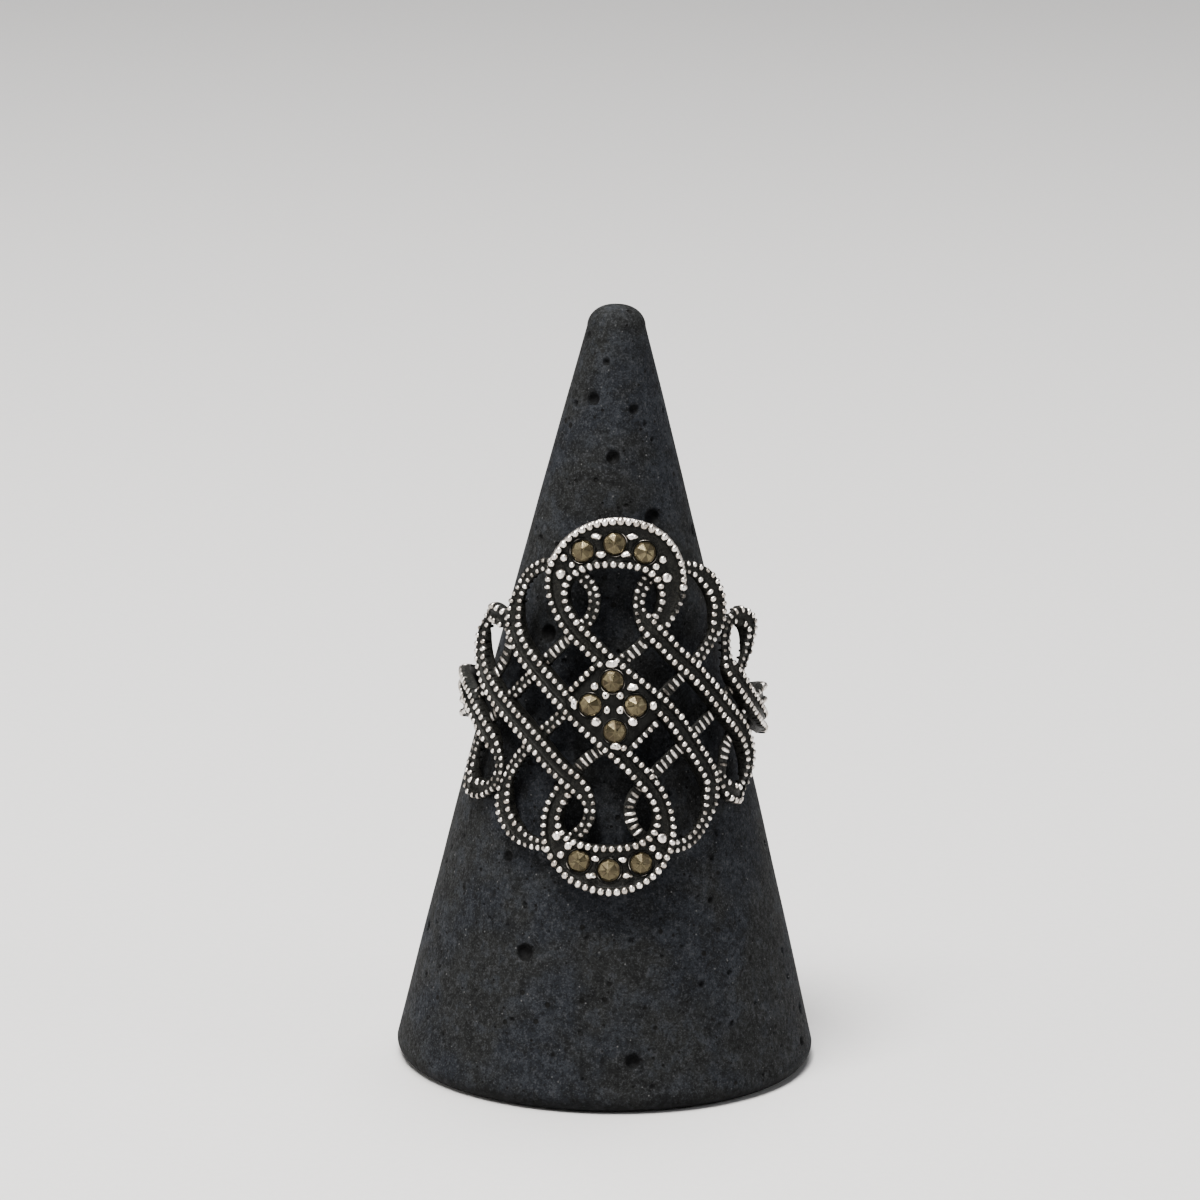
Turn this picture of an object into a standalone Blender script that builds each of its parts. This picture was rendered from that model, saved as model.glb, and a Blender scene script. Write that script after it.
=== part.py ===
"""Openwork silver ring set with marcasites, standing on a plain stone display cone.

Two channel strands, mirror images of each other, weave over and under across the front of the finger.
They widen to a crescent of three stones at the top and at the bottom, and a small diamond plate of four
stones sits where they cross in the middle. Behind the finger both strands run into one narrow band.

The pattern is laid out flat, across the finger and along it, and then bent round the bore. Lengths are in
metres.
"""

import math
from collections import namedtuple

import bmesh
import bpy
import numpy as np
from mathutils import Matrix, Vector

MM = 0.001

# The panel: the bore it is bent round and the box that the flat pattern fills
BORE_RADIUS = 9.50 * MM
WALL = 0.70 * MM  # from the bore to the top of a rim where no strand crosses
PANEL_HALF_WIDTH = 12.0 * MM
PANEL_HALF_HEIGHT = 12.0 * MM

# A strand's section: a channel between two rims
ROW_SPACING = 0.90 * MM  # from one rim's middle to the other's
LOW_SPACING = 0.58 * MM  # the same where a strand runs low, under the others
RIM_WIDTH = 0.36 * MM
RIM_DRAFT = 0.06 * MM  # how far a wall spreads towards its foot
FLOOR_SHARE = 0.60  # height of the channel's floor in that of the rim
WEAVE_RISE = 0.30 * MM  # how far a rim climbs to go over, and sinks to go under
ARCH_LIFT = 0.32 * MM  # how far an arch stands over the loops that pass behind it
UNDERCUT = 0.08 * MM  # how far the lowest strand's under side stays off the bore
CRESCENT_SPACING = 2.80 * MM  # between the rims in the middle of an arch
TOP_CRESCENT_LENGTH = 14.8 * MM
BOTTOM_CRESCENT_LENGTH = 12.4 * MM
CRESCENT_FALL = 1.6  # how early an arch narrows: more is earlier

# The centre plate
PLATE_HALF = 2.66 * MM  # from the middle to an edge
PLATE_STEP = 0.08 * MM  # how far its floor stands over a strand's
EDGE_RISE = 0.36 * MM  # rims on the two edges that no strand runs along
EDGE_LENGTH = 2.90 * MM
EDGE_OUT = 0.10 * MM  # how far outside the plate's edge a rim's middle lies

# The stones, round and flat backed, and their seats
STONE_DIAMETER = 1.50 * MM
STONE_HEIGHT = 0.56 * MM
SEAT_DEPTH = 0.14 * MM
SEAT_CLEARANCE = 0.04 * MM

# The grains, round beads raised from the floor
GRAIN_RADIUS = 0.30 * MM
GRAIN_FOOT = 0.16 * MM  # how deep a grain's foot goes into the floor

# The band behind the finger
SHANK_WIDTH = 2.20 * MM
SHANK_SPREAD = 0.42 * MM  # how much wider each side is where the strands run in
SHANK_FALL = 3  # how early the band narrows: more is earlier
SHANK_THICKNESS = 1.05 * MM
SHANK_OVERLAP = 1.20 * MM  # how far the strands' ends run into it

# The display cone, and how the ring sits on it
CONE_HEIGHT = 51.0 * MM
CONE_RADIUS = 13.9 * MM  # at its widest, just over the base
CONE_TIP_RADIUS = 1.95 * MM
CONE_TIP_FLAT = 0.35 * MM  # radius of the worn spot on top
CONE_BULGE = 0.20 * MM  # how far the side swells over a straight line
CONE_FOOT_ROUND = 1.0 * MM
CONE_TIP_ROUND = 1.4 * MM
RING_TILT = math.radians(11.7)  # the top of the ring leans back
RING_SHIFT = 0.20 * MM  # to the right of the cone's middle
PERCH_CLEARANCE = 0.10 * MM

LAYOUT_RADIUS = BORE_RADIUS + WALL + WEAVE_RISE  # the flat pattern keeps its lengths here
HALF_TURN = 180.0

# Half of strand one, from its end at the band on the left to the middle of the top arch. Places are shares
# of the panel's half width and half height, headings are in degrees, and lift is a share of ARCH_LIFT.
Station = namedtuple("Station", "across along heading lift")
HALF_STRAND = [
    Station(-1.75, -0.070, 0, 0.0),
    Station(-1.45, -0.085, 0, 0.0),
    Station(-0.82, 0.13, 43, 0.0),
    Station(-0.695, 0.36, 90, -1.1),
    Station(-0.845, 0.485, 180, 0.0),
    Station(-0.955, 0.36, 270, 0.0),
    Station(-0.80, 0.10, 319, 0.0),
    Station(-0.27, -0.355, 319, 0.0),
    Station(-0.115, -0.56, 270, -0.9),
    Station(-0.39, -0.76, 180, -0.9),
    Station(-0.6375, -0.49, 90, 0.0),
    Station(-0.50, -0.245, 42, 0.0),
    Station(0.16, 0.355, 42, 0.0),
    Station(0.318, 0.63, 90, 1.0),
    Station(0.0, 0.885, 180, 1.0),
]

# How the cast pattern has settled away from an even one: how far right its upper and its lower part stand,
# and how far up, in shares of the panel's half width and half height
Settle = namedtuple("Settle", "across upper lower rise")
SETTLE = [
    Settle(-1.75, 0.0, 0.0, 0.030),
    Settle(-1.45, 0.0, 0.0, 0.030),
    Settle(-0.90, 0.030, -0.105, 0.0),
    Settle(-0.64, 0.010, -0.055, 0.0),
    Settle(-0.33, -0.014, -0.028, 0.0),
    Settle(0.0, 0.0, -0.006, 0.0),
    Settle(0.12, 0.025, -0.010, 0.0),
    Settle(0.33, 0.003, -0.016, 0.0),
    Settle(0.64, 0.014, -0.018, 0.0),
    Settle(0.84, 0.004, 0.020, 0.0),
    Settle(1.45, 0.0, 0.0, -0.040),
    Settle(1.75, 0.0, 0.0, -0.040),
]
SETTLE_REACH = 0.8  # the height, in half heights, over which the lower part passes into the upper

# Places round which it has swelled to one side: how far right and up it moves there, and how far away that
# fades out, in shares as above
Swell = namedtuple("Swell", "across along right up reach")
SWELLS = [
    Swell(0.33, -0.05, 0.028, 0.028, 0.36),
    Swell(-0.12, -0.30, -0.025, 0.025, 0.25),
    Swell(-0.15, -0.15, -0.005, -0.005, 0.35),
    Swell(-0.50, -0.15, 0.014, 0.014, 0.35),
    Swell(0.76, 0.35, 0.060, 0.0, 0.18),
    Swell(0.76, -0.35, 0.060, 0.0, 0.18),
]

# Stones, by name and place in shares of the panel's half width and half height
Stone = namedtuple("Stone", "name across along floor")
STONES = [
    Stone("marcasite_top_left", -0.188, 0.838, "arch"),
    Stone("marcasite_top_middle", -0.008, 0.880, "arch"),
    Stone("marcasite_top_right", 0.163, 0.835, "arch"),
    Stone("marcasite_centre_top", -0.008, 0.138, "plate"),
    Stone("marcasite_centre_left", -0.129, 0.008, "plate"),
    Stone("marcasite_centre_right", 0.125, 0.008, "plate"),
    Stone("marcasite_centre_bottom", 0.010, -0.133, "plate"),
    Stone("marcasite_bottom_left", -0.180, -0.838, "arch"),
    Stone("marcasite_bottom_middle", -0.010, -0.885, "arch"),
    Stone("marcasite_bottom_right", 0.170, -0.845, "arch"),
]

# Grains: places as above, wide and tall as shares of GRAIN_RADIUS
Grain = namedtuple("Grain", "across along wide tall floor")
GRAINS = [
    Grain(-0.110, 0.920, 1.2, 0.7, "arch"),
    Grain(0.090, 0.920, 1.3, 0.7, "arch"),
    Grain(-0.295, 0.800, 0.9, 0.9, "arch"),
    Grain(-0.085, 0.822, 1.2, 0.8, "arch"),
    Grain(0.060, 0.825, 1.2, 0.8, "arch"),
    Grain(0.265, 0.798, 0.9, 0.9, "arch"),
    Grain(-0.246, 0.762, 0.7, 0.7, "arch"),
    Grain(0.226, 0.759, 0.8, 0.8, "arch"),
    Grain(-0.310, 0.712, 1.2, 1.1, "arch"),
    Grain(0.290, 0.700, 1.2, 1.1, "arch"),
    Grain(-0.012, 0.232, 1.3, 0.8, "plate"),
    Grain(0.104, 0.108, 1.3, 0.9, "plate"),
    Grain(0.222, 0.010, 0.9, 1.0, "plate"),
    Grain(0.108, -0.078, 1.0, 1.0, "plate"),
    Grain(0.018, -0.214, 1.3, 0.8, "plate"),
    Grain(-0.096, -0.082, 1.0, 1.0, "plate"),
    Grain(-0.217, 0.013, 0.8, 1.2, "plate"),
    Grain(-0.106, 0.110, 0.9, 0.9, "plate"),
    Grain(-0.044, 0.062, 0.85, 0.9, "plate"),
    Grain(0.036, 0.061, 0.85, 0.9, "plate"),
    Grain(-0.036, -0.017, 0.8, 0.95, "plate"),
    Grain(0.038, -0.018, 0.8, 0.95, "plate"),
    Grain(-0.308, -0.705, 1.2, 1.1, "arch"),
    Grain(-0.283, -0.808, 0.9, 0.9, "arch"),
    Grain(-0.088, -0.822, 1.0, 0.7, "arch"),
    Grain(0.065, -0.825, 1.0, 0.7, "arch"),
    Grain(-0.240, -0.757, 1.0, 1.0, "arch"),
    Grain(0.230, -0.762, 0.8, 0.8, "arch"),
    Grain(-0.110, -0.915, 1.2, 0.75, "arch"),
    Grain(0.092, -0.913, 1.2, 0.75, "arch"),
    Grain(0.286, -0.710, 1.2, 1.1, "arch"),
    Grain(0.268, -0.805, 0.9, 0.9, "arch"),
]


def smooth(share):
    """Rises smoothly from 0 to 1 as share does."""
    share = min(1.0, max(0.0, share))
    return share * share * (3 - 2 * share)


def mix(low, high, share):
    return low + (high - low) * share


def rim_radius(heading, lift):
    """Strands that fall to the right climb over those that rise to the right. Where lift is near 1, in an
    arch, or near -1, behind one, a strand keeps its height whatever its heading."""
    weave = WEAVE_RISE * math.sin(2 * heading) * (1 - min(1.0, abs(lift)))
    return BORE_RADIUS + WALL - weave + lift * ARCH_LIFT


def under_side(top):
    """The under side's radius below a rim at radius top, so that no two strands share a surface."""
    climb = (top - (BORE_RADIUS + WALL)) / (2 * WEAVE_RISE)
    return BORE_RADIUS + UNDERCUT * min(1.0, max(0.0, 0.5 - climb))


def floor_under(top):
    return mix(under_side(top), top, FLOOR_SHARE)


ARCH_TOP = BORE_RADIUS + WALL + ARCH_LIFT
FLOORS = {
    "arch": floor_under(ARCH_TOP),
    "plate": floor_under(BORE_RADIUS + WALL + WEAVE_RISE) + PLATE_STEP,
}


# The pattern, first flat and then round the bore
def on_bore(across, along, radius):
    """A point of the flat pattern at a radius, in the ring's own frame: its axis is Z, its front is -Y."""
    angle = across / LAYOUT_RADIUS
    return Vector((radius * math.sin(angle), -radius * math.cos(angle), along))


def settled(across, along):
    """The settled place of a point of the even pattern, both in metres."""
    share = across / PANEL_HALF_WIDTH
    upper_weight = smooth(0.5 + along / PANEL_HALF_HEIGHT / SETTLE_REACH)
    shares = [row.across for row in SETTLE]
    upper = float(np.interp(share, shares, [row.upper for row in SETTLE]))
    lower = float(np.interp(share, shares, [row.lower for row in SETTLE]))
    rise = float(np.interp(share, shares, [row.rise for row in SETTLE]))
    right = mix(lower, upper, upper_weight)
    for swell in SWELLS:
        away = math.hypot(share - swell.across, along / PANEL_HALF_HEIGHT - swell.along)
        pull = smooth(1 - away / swell.reach)
        right += pull * swell.right
        rise += pull * swell.up
    return across + right * PANEL_HALF_WIDTH, along + rise * PANEL_HALF_HEIGHT


def whole_strand(mirrored):
    """All the stations of a strand: its left half, and that half turned left to right. Strand two is strand
    one turned top to bottom."""
    left = HALF_STRAND
    right = [Station(-row.across, row.along, -row.heading, row.lift) for row in reversed(left[:-1])]
    stations = left + right
    if mirrored:
        stations = [Station(row.across, -row.along, -row.heading, row.lift) for row in stations]
    return stations


# A point of a strand's centre line: its place in the flat pattern, heading, rim radius and rim spacing
Point = namedtuple("Point", "across along heading top spacing")
LONGEST_STEP = 1.15 * MM
WIDEST_TURN = math.radians(19)


def bezier(start, end):
    """Points from one station towards the next, on the curve that leaves and reaches them as they head."""
    place_0 = Vector((start.across * PANEL_HALF_WIDTH, start.along * PANEL_HALF_HEIGHT))
    place_3 = Vector((end.across * PANEL_HALF_WIDTH, end.along * PANEL_HALF_HEIGHT))
    turn = math.radians((end.heading - start.heading + HALF_TURN) % (2 * HALF_TURN) - HALF_TURN)
    chord = (place_3 - place_0).length
    handle = chord / (3 * math.cos(turn / 4) ** 2)
    leave = Vector((math.cos(math.radians(start.heading)), math.sin(math.radians(start.heading))))
    reach = Vector((math.cos(math.radians(end.heading)), math.sin(math.radians(end.heading))))
    place_1 = place_0 + handle * leave
    place_2 = place_3 - handle * reach
    count = max(math.ceil(chord / LONGEST_STEP), math.ceil(abs(turn) / WIDEST_TURN))
    for step in range(count):
        share = step / count
        rest = 1 - share
        place = rest**3 * place_0 + 3 * rest**2 * share * place_1
        place += 3 * rest * share**2 * place_2 + share**3 * place_3
        yield place, mix(start.lift, end.lift, smooth(share))


def narrowed(top):
    """The rims' spacing, which narrows where a strand runs low."""
    return mix(ROW_SPACING, LOW_SPACING, smooth((BORE_RADIUS + WALL - top) / WEAVE_RISE))


def centre_line(mirrored):
    """The points of a strand from its left end to its right end."""
    stations = whole_strand(mirrored)
    places = []
    lifts = []
    for start, end in zip(stations, stations[1:]):
        for place, lift in bezier(start, end):
            places.append(settled(place.x, place.y))
            lifts.append(lift)
    last = stations[-1]
    places.append(settled(last.across * PANEL_HALF_WIDTH, last.along * PANEL_HALF_HEIGHT))
    lifts.append(last.lift)
    lengths = [0.0]
    for before, after in zip(places, places[1:]):
        lengths.append(lengths[-1] + math.dist(before, after))
    crescent_length = BOTTOM_CRESCENT_LENGTH if mirrored else TOP_CRESCENT_LENGTH
    line = []
    for index, (across, along) in enumerate(places):
        before = places[max(0, index - 1)]
        after = places[min(len(places) - 1, index + 1)]
        heading = math.atan2(after[1] - before[1], after[0] - before[0])
        from_crest = abs(lengths[index] - lengths[-1] / 2) / (crescent_length / 2)
        widening = math.cos(math.pi / 2 * min(1.0, from_crest)) ** CRESCENT_FALL
        top = rim_radius(heading, lifts[index])
        spacing = mix(narrowed(top), CRESCENT_SPACING, widening)
        line.append(Point(across, along, heading, top, spacing))
    return line


def beside(point, offset):
    """The flat place at an offset to the left of a point of a centre line."""
    return point.across - offset * math.sin(point.heading), point.along + offset * math.cos(point.heading)


def rim_top(point, offset):
    """The rim's radius, sunk below the plate's floor where the rim would run across the plate."""
    across, along = beside(point, offset)
    inside = PLATE_HALF * math.sqrt(2) - abs(across) - abs(along)
    sunk = FLOORS["plate"] - PLATE_STEP
    return mix(point.top, min(point.top, sunk), smooth(inside / ROW_SPACING - 0.5))


def strand_section(point):
    """The eight corners of a strand's section, as offset and radius, going round the channel."""
    half = point.spacing / 2
    rim = RIM_WIDTH * min(1.0, point.spacing / ROW_SPACING)
    outer = half + rim / 2
    inner = half - rim / 2
    foot = under_side(point.top)
    floor = floor_under(point.top)
    left = rim_top(point, half)
    right = rim_top(point, -half)
    return [
        (-outer - RIM_DRAFT, foot),
        (outer + RIM_DRAFT, foot),
        (outer, left),
        (inner, left),
        (inner - RIM_DRAFT, min(floor, left)),
        (-inner + RIM_DRAFT, min(floor, right)),
        (-inner, right),
        (-outer, right),
    ]


def sweep(mesh, line, section):
    """Adds a closed ribbon along a centre line to a bmesh. section gives a point's corners."""
    rows = []
    for point in line:
        row = [mesh.verts.new(on_bore(*beside(point, offset), radius)) for offset, radius in section(point)]
        rows.append(row)
    for before, after in zip(rows, rows[1:]):
        for index in range(len(before)):
            following = (index + 1) % len(before)
            mesh.faces.new((before[index], before[following], after[following], after[index]))
    mesh.faces.new(reversed(rows[0]))
    mesh.faces.new(rows[-1])


# Pieces of the ring
def add_strand(mesh, mirrored):
    sweep(mesh, centre_line(mirrored), strand_section)


SHANK_STEPS = 22

# The rounded outside of the band, as shares of its half width and its thickness
Round = namedtuple("Round", "aside up")
SHANK_ROUND = [Round(1.0, 0.55), Round(0.72, 0.88), Round(0.28, 1.0)]


def shank_line():
    """The middle of the band, from the left round the back to the right."""
    start = HALF_STRAND[0].across * PANEL_HALF_WIDTH + SHANK_OVERLAP
    end = -2 * math.pi * LAYOUT_RADIUS - start
    left_rise = SETTLE[0].rise * PANEL_HALF_HEIGHT
    right_rise = SETTLE[-1].rise * PANEL_HALF_HEIGHT
    line = []
    for step in range(SHANK_STEPS + 1):
        share = step / SHANK_STEPS
        spread = abs(2 * share - 1) ** SHANK_FALL
        width = SHANK_WIDTH + 2 * SHANK_SPREAD * spread
        along = mix(left_rise, right_rise, smooth(share))
        top = BORE_RADIUS + SHANK_THICKNESS
        line.append(Point(mix(start, end, share), along, math.pi, top, width))
    return line


def shank_section(point):
    """Flat inside, rounded outside. It stands a little inside the strands' under sides."""
    half = point.spacing / 2
    foot = BORE_RADIUS - UNDERCUT / 2
    return [
        (-half, foot),
        (half, foot),
        *((row.aside * half, mix(foot, point.top, row.up)) for row in SHANK_ROUND),
        *((-row.aside * half, mix(foot, point.top, row.up)) for row in reversed(SHANK_ROUND)),
    ]


PLATE_STEPS = 8


def add_plate(mesh):
    """A square plate stood on its corner, bent round the bore."""
    corner = PLATE_HALF * math.sqrt(2)
    low = BORE_RADIUS + UNDERCUT / 2
    high = FLOORS["plate"]
    rows = []
    for step in range(1, PLATE_STEPS):
        across = mix(-corner, corner, step / PLATE_STEPS)
        reach = corner - abs(across)
        corners = [(-reach, low), (reach, low), (reach, high), (-reach, high)]
        rows.append([mesh.verts.new(on_bore(across, along, radius)) for along, radius in corners])
    for before, after in zip(rows, rows[1:]):
        for index in range(4):
            following = (index + 1) % 4
            mesh.faces.new((before[index], after[index], after[following], before[following]))
    for across, row, turned in ((-corner, rows[0], False), (corner, rows[-1], True)):
        bottom = mesh.verts.new(on_bore(across, 0.0, low))
        top = mesh.verts.new(on_bore(across, 0.0, high))
        faces = [
            (bottom, row[0], row[1]),
            (bottom, row[1], row[2], top),
            (top, row[2], row[3]),
            (top, row[3], row[0], bottom),
        ]
        for corners in faces:
            mesh.faces.new(reversed(corners) if turned else corners)


def edge_line(side):
    """The plate's upper left edge for side 1, its lower right edge for side -1."""
    middle = side * (PLATE_HALF + EDGE_OUT) / math.sqrt(2)
    half = EDGE_LENGTH / 2 / math.sqrt(2)
    heading = math.radians(45)
    top = FLOORS["plate"] + EDGE_RISE
    return [
        Point(-middle + share * half, middle + share * half, heading, top, RIM_WIDTH)
        for share in (-1, 0, 1)
    ]


def edge_section(point):
    half = point.spacing / 2
    foot = BORE_RADIUS + UNDERCUT / 4
    return [(-half - RIM_DRAFT, foot), (half + RIM_DRAFT, foot), (half, point.top), (-half, point.top)]


def frame_on_bore(across, along, radius):
    """A frame on the ring: X across the finger, Y along it, Z out."""
    out = on_bore(across, 0.0, 1.0)
    side = Vector((0, 0, 1)).cross(out).normalized()
    place = on_bore(across, along, radius)
    return Matrix.Translation(place) @ Matrix((side, Vector((0, 0, 1)), out)).transposed().to_4x4()


def add_rings(mesh, rings, frame):
    """Bridges rings of points, low to high, and closes both ends."""
    rows = [[mesh.verts.new(frame @ Vector(point)) for point in ring] for ring in rings]
    for low, high in zip(rows, rows[1:]):
        for index in range(len(low)):
            following = (index + 1) % len(low)
            mesh.faces.new((low[index], low[following], high[following], high[index]))
    mesh.faces.new(reversed(rows[0]))
    mesh.faces.new(rows[-1])


def circle(radius, height, sides, turn=0.0):
    angles = [turn + 2 * math.pi * side / sides for side in range(sides)]
    return [(radius * math.cos(angle), radius * math.sin(angle), height) for angle in angles]


GRAIN_SIDES = 10
GRAIN_ROUND = [Round(1.0, 0.25), Round(0.80, 0.75), Round(0.36, 1.05)]


def add_grain(mesh, grain):
    wide = grain.wide * GRAIN_RADIUS
    tall = grain.tall * GRAIN_RADIUS
    heights = [(1.0, -GRAIN_FOOT)] + [(row.aside, row.up * tall) for row in GRAIN_ROUND]
    rings = []
    for share, height in heights:
        rings.append([(x * wide, y * tall, height) for x, y, _ in circle(share, 0.0, GRAIN_SIDES)])
    across = grain.across * PANEL_HALF_WIDTH
    along = grain.along * PANEL_HALF_HEIGHT
    add_rings(mesh, rings, frame_on_bore(across, along, FLOORS[grain.floor]))


def stone_frame(stone, height):
    """A frame on a stone's axis, at a height over the floor that holds it."""
    across = stone.across * PANEL_HALF_WIDTH
    along = stone.along * PANEL_HALF_HEIGHT
    return frame_on_bore(across, along, FLOORS[stone.floor] + height)


SEAT_SIDES = 20


def add_seat(mesh, stone):
    """The space that a stone is set in, open upwards."""
    radius = STONE_DIAMETER / 2 + SEAT_CLEARANCE
    low = circle(radius, 0.0, SEAT_SIDES)
    high = circle(radius, SEAT_DEPTH + 2 * STONE_HEIGHT, SEAT_SIDES)
    add_rings(mesh, [low, high], stone_frame(stone, -SEAT_DEPTH))


FACETS = 8
STONE_EDGE = Round(1.0, 0.28)
STONE_SHOULDER = Round(0.74, 0.70)
STONE_TABLE = Round(0.34, 1.0)


def stone_mesh():
    """A round stone with a flat back: a table, a ring of facets under it and a band round the edge."""
    radius = STONE_DIAMETER / 2
    points = circle(radius, 0.0, 2 * FACETS)
    for row, sides, turn in (
        (STONE_EDGE, 2 * FACETS, 0.0),
        (STONE_SHOULDER, FACETS, 0.0),
        (STONE_TABLE, FACETS, math.pi / FACETS),
    ):
        points += circle(row.aside * radius, row.up * STONE_HEIGHT, sides, turn)
    mesh = bmesh.new()
    for point in points:
        mesh.verts.new(point)
    bmesh.ops.convex_hull(mesh, input=mesh.verts)
    return finished(mesh, "marcasite")


# The cone and the ring's place on it
CONE_STEPS = 14
ROUND_STEPS = 5
CONE_SIDES = 48


def cone_radius(height):
    """The side of the cone, a line with a slight swell, between the rounded foot and the rounded tip."""
    low = CONE_FOOT_ROUND
    high = CONE_HEIGHT - CONE_TIP_ROUND
    share = np.clip((height - low) / (high - low), 0.0, 1.0)
    return mix(CONE_RADIUS, CONE_TIP_RADIUS, share) + 4 * CONE_BULGE * share * (1 - share)


def cone_profile():
    """Radius and height from the foot to the tip."""
    profile = []
    for step in range(ROUND_STEPS):
        angle = math.pi / 2 * step / ROUND_STEPS
        radius = CONE_RADIUS - CONE_FOOT_ROUND * (1 - math.sin(angle))
        profile.append((radius, CONE_FOOT_ROUND * (1 - math.cos(angle))))
    for step in range(CONE_STEPS + 1):
        height = mix(CONE_FOOT_ROUND, CONE_HEIGHT - CONE_TIP_ROUND, step / CONE_STEPS)
        profile.append((float(cone_radius(height)), height))
    for step in range(1, ROUND_STEPS + 1):
        angle = math.pi / 2 * step / ROUND_STEPS
        height = CONE_HEIGHT - CONE_TIP_ROUND * (1 - math.sin(angle))
        profile.append((mix(CONE_TIP_FLAT, CONE_TIP_RADIUS, math.cos(angle)), height))
    return profile


def bore_edges():
    """Corners of the ring's under side, where it can touch the cone: those of the front, then of the band."""
    front = []
    for mirrored in (False, True):
        for point in centre_line(mirrored):
            front += [on_bore(*beside(point, offset), radius) for offset, radius in strand_section(point)[:2]]
    back = []
    for point in shank_line():
        back += [on_bore(*beside(point, offset), radius) for offset, radius in shank_section(point)[:2]]
    return np.array(front), np.array(back)


SEARCH_STEPS = 30


def halved(is_high, low, high):
    """The value between low and high where is_high turns true."""
    for _ in range(SEARCH_STEPS):
        middle = (low + high) / 2
        if is_high(middle):
            high = middle
        else:
            low = middle
    return (low + high) / 2


def perch():
    """Where the tilted ring's middle comes to sit: as low as the cone lets it, with front and back alike."""
    turned = np.array(Matrix.Rotation(-RING_TILT, 3, "X"))
    front, back = [points @ turned.T for points in bore_edges()]

    def gap(points, forward, height):
        radii = np.hypot(points[:, 0] + RING_SHIFT, points[:, 1] + forward)
        return float((radii - cone_radius(points[:, 2] + height)).min())

    def evened(height):
        reach = BORE_RADIUS / 4
        return halved(lambda y: gap(front, y, height) < gap(back, y, height), -reach, reach)

    def clear(height):
        return gap(back, evened(height), height) > PERCH_CLEARANCE

    height = halved(clear, 0.0, CONE_HEIGHT)
    return Vector((RING_SHIFT, evened(height), height))


# Objects and materials
def finished(mesh, name):
    """A mesh from a bmesh, with its faces turned out."""
    bmesh.ops.recalc_face_normals(mesh, faces=mesh.faces)
    data = bpy.data.meshes.new(name)
    mesh.to_mesh(data)
    mesh.free()
    return data


def material(name, colour, metallic, roughness):
    made = bpy.data.materials.new(name)
    made.use_nodes = True
    shader = made.node_tree.nodes["Principled BSDF"]
    shader.inputs["Base Color"].default_value = (*colour, 1.0)
    shader.inputs["Metallic"].default_value = metallic
    shader.inputs["Roughness"].default_value = roughness
    return made


def add_object(name, data, finish=None, parent=None):
    made = bpy.data.objects.new(name, data)
    bpy.context.scene.collection.objects.link(made)
    made.parent = parent
    if finish and not data.materials:
        data.materials.append(finish)
    return made


def add_helper(name, mesh, parent):
    """A solid that a Boolean uses and that isn't part of the object."""
    made = add_object(name, finished(mesh, name), parent=parent)
    made.hide_render = True
    made.display_type = "WIRE"
    return made


def clear_scene():
    for old in list(bpy.data.objects):
        bpy.data.objects.remove(old, do_unlink=True)


def build_ring(axis):
    silver = material("oxidised_silver", (0.62, 0.60, 0.57), 1.0, 0.36)
    first = bmesh.new()
    add_strand(first, mirrored=False)
    ring = add_object("openwork_ring", finished(first, "openwork_ring"), silver, axis)

    second = bmesh.new()
    add_strand(second, mirrored=True)
    sweep(second, shank_line(), shank_section)
    add_plate(second)
    for side in (1, -1):
        sweep(second, edge_line(side), edge_section)
    for grain in GRAINS:
        add_grain(second, grain)
    join = ring.modifiers.new("join", "BOOLEAN")
    join.operation = "UNION"
    join.use_self = True
    join.object = add_helper("silver_joined_on", second, axis)

    seats = bmesh.new()
    for stone in STONES:
        add_seat(seats, stone)
    cut = ring.modifiers.new("seats", "BOOLEAN")
    cut.operation = "DIFFERENCE"
    cut.object = add_helper("stone_seats", seats, axis)
    return ring


def build_stones(axis):
    pyrite = material("marcasite", (0.34, 0.29, 0.20), 0.9, 0.28)
    data = stone_mesh()
    for stone in STONES:
        made = add_object(stone.name, data, pyrite, axis)
        made.matrix_local = stone_frame(stone, SEAT_CLEARANCE - SEAT_DEPTH)


def build_cone():
    charcoal = material("charcoal_stone", (0.055, 0.058, 0.064), 0.0, 0.85)
    mesh = bmesh.new()
    add_rings(mesh, [circle(radius, height, CONE_SIDES) for radius, height in cone_profile()], Matrix())
    cone = add_object("display_cone", finished(mesh, "display_cone"), charcoal)
    cone.data.shade_smooth()
    cone.data.set_sharp_from_angle(angle=math.radians(40))


def build():
    clear_scene()
    axis = add_object("ring_axis", None)
    axis.location = perch()
    axis.rotation_euler = (-RING_TILT, 0.0, 0.0)
    build_ring(axis)
    build_stones(axis)
    build_cone()


build()
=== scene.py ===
"""Looks of an openwork silver ring set with marcasites on a stone display cone. Lengths are in metres."""

import random
from collections import namedtuple
from math import atan, atan2, ceil, cos, dist, hypot, pi, radians, sin, sqrt

import bmesh
import bpy
import numpy as np
from mathutils import Matrix, Vector, noise


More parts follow.
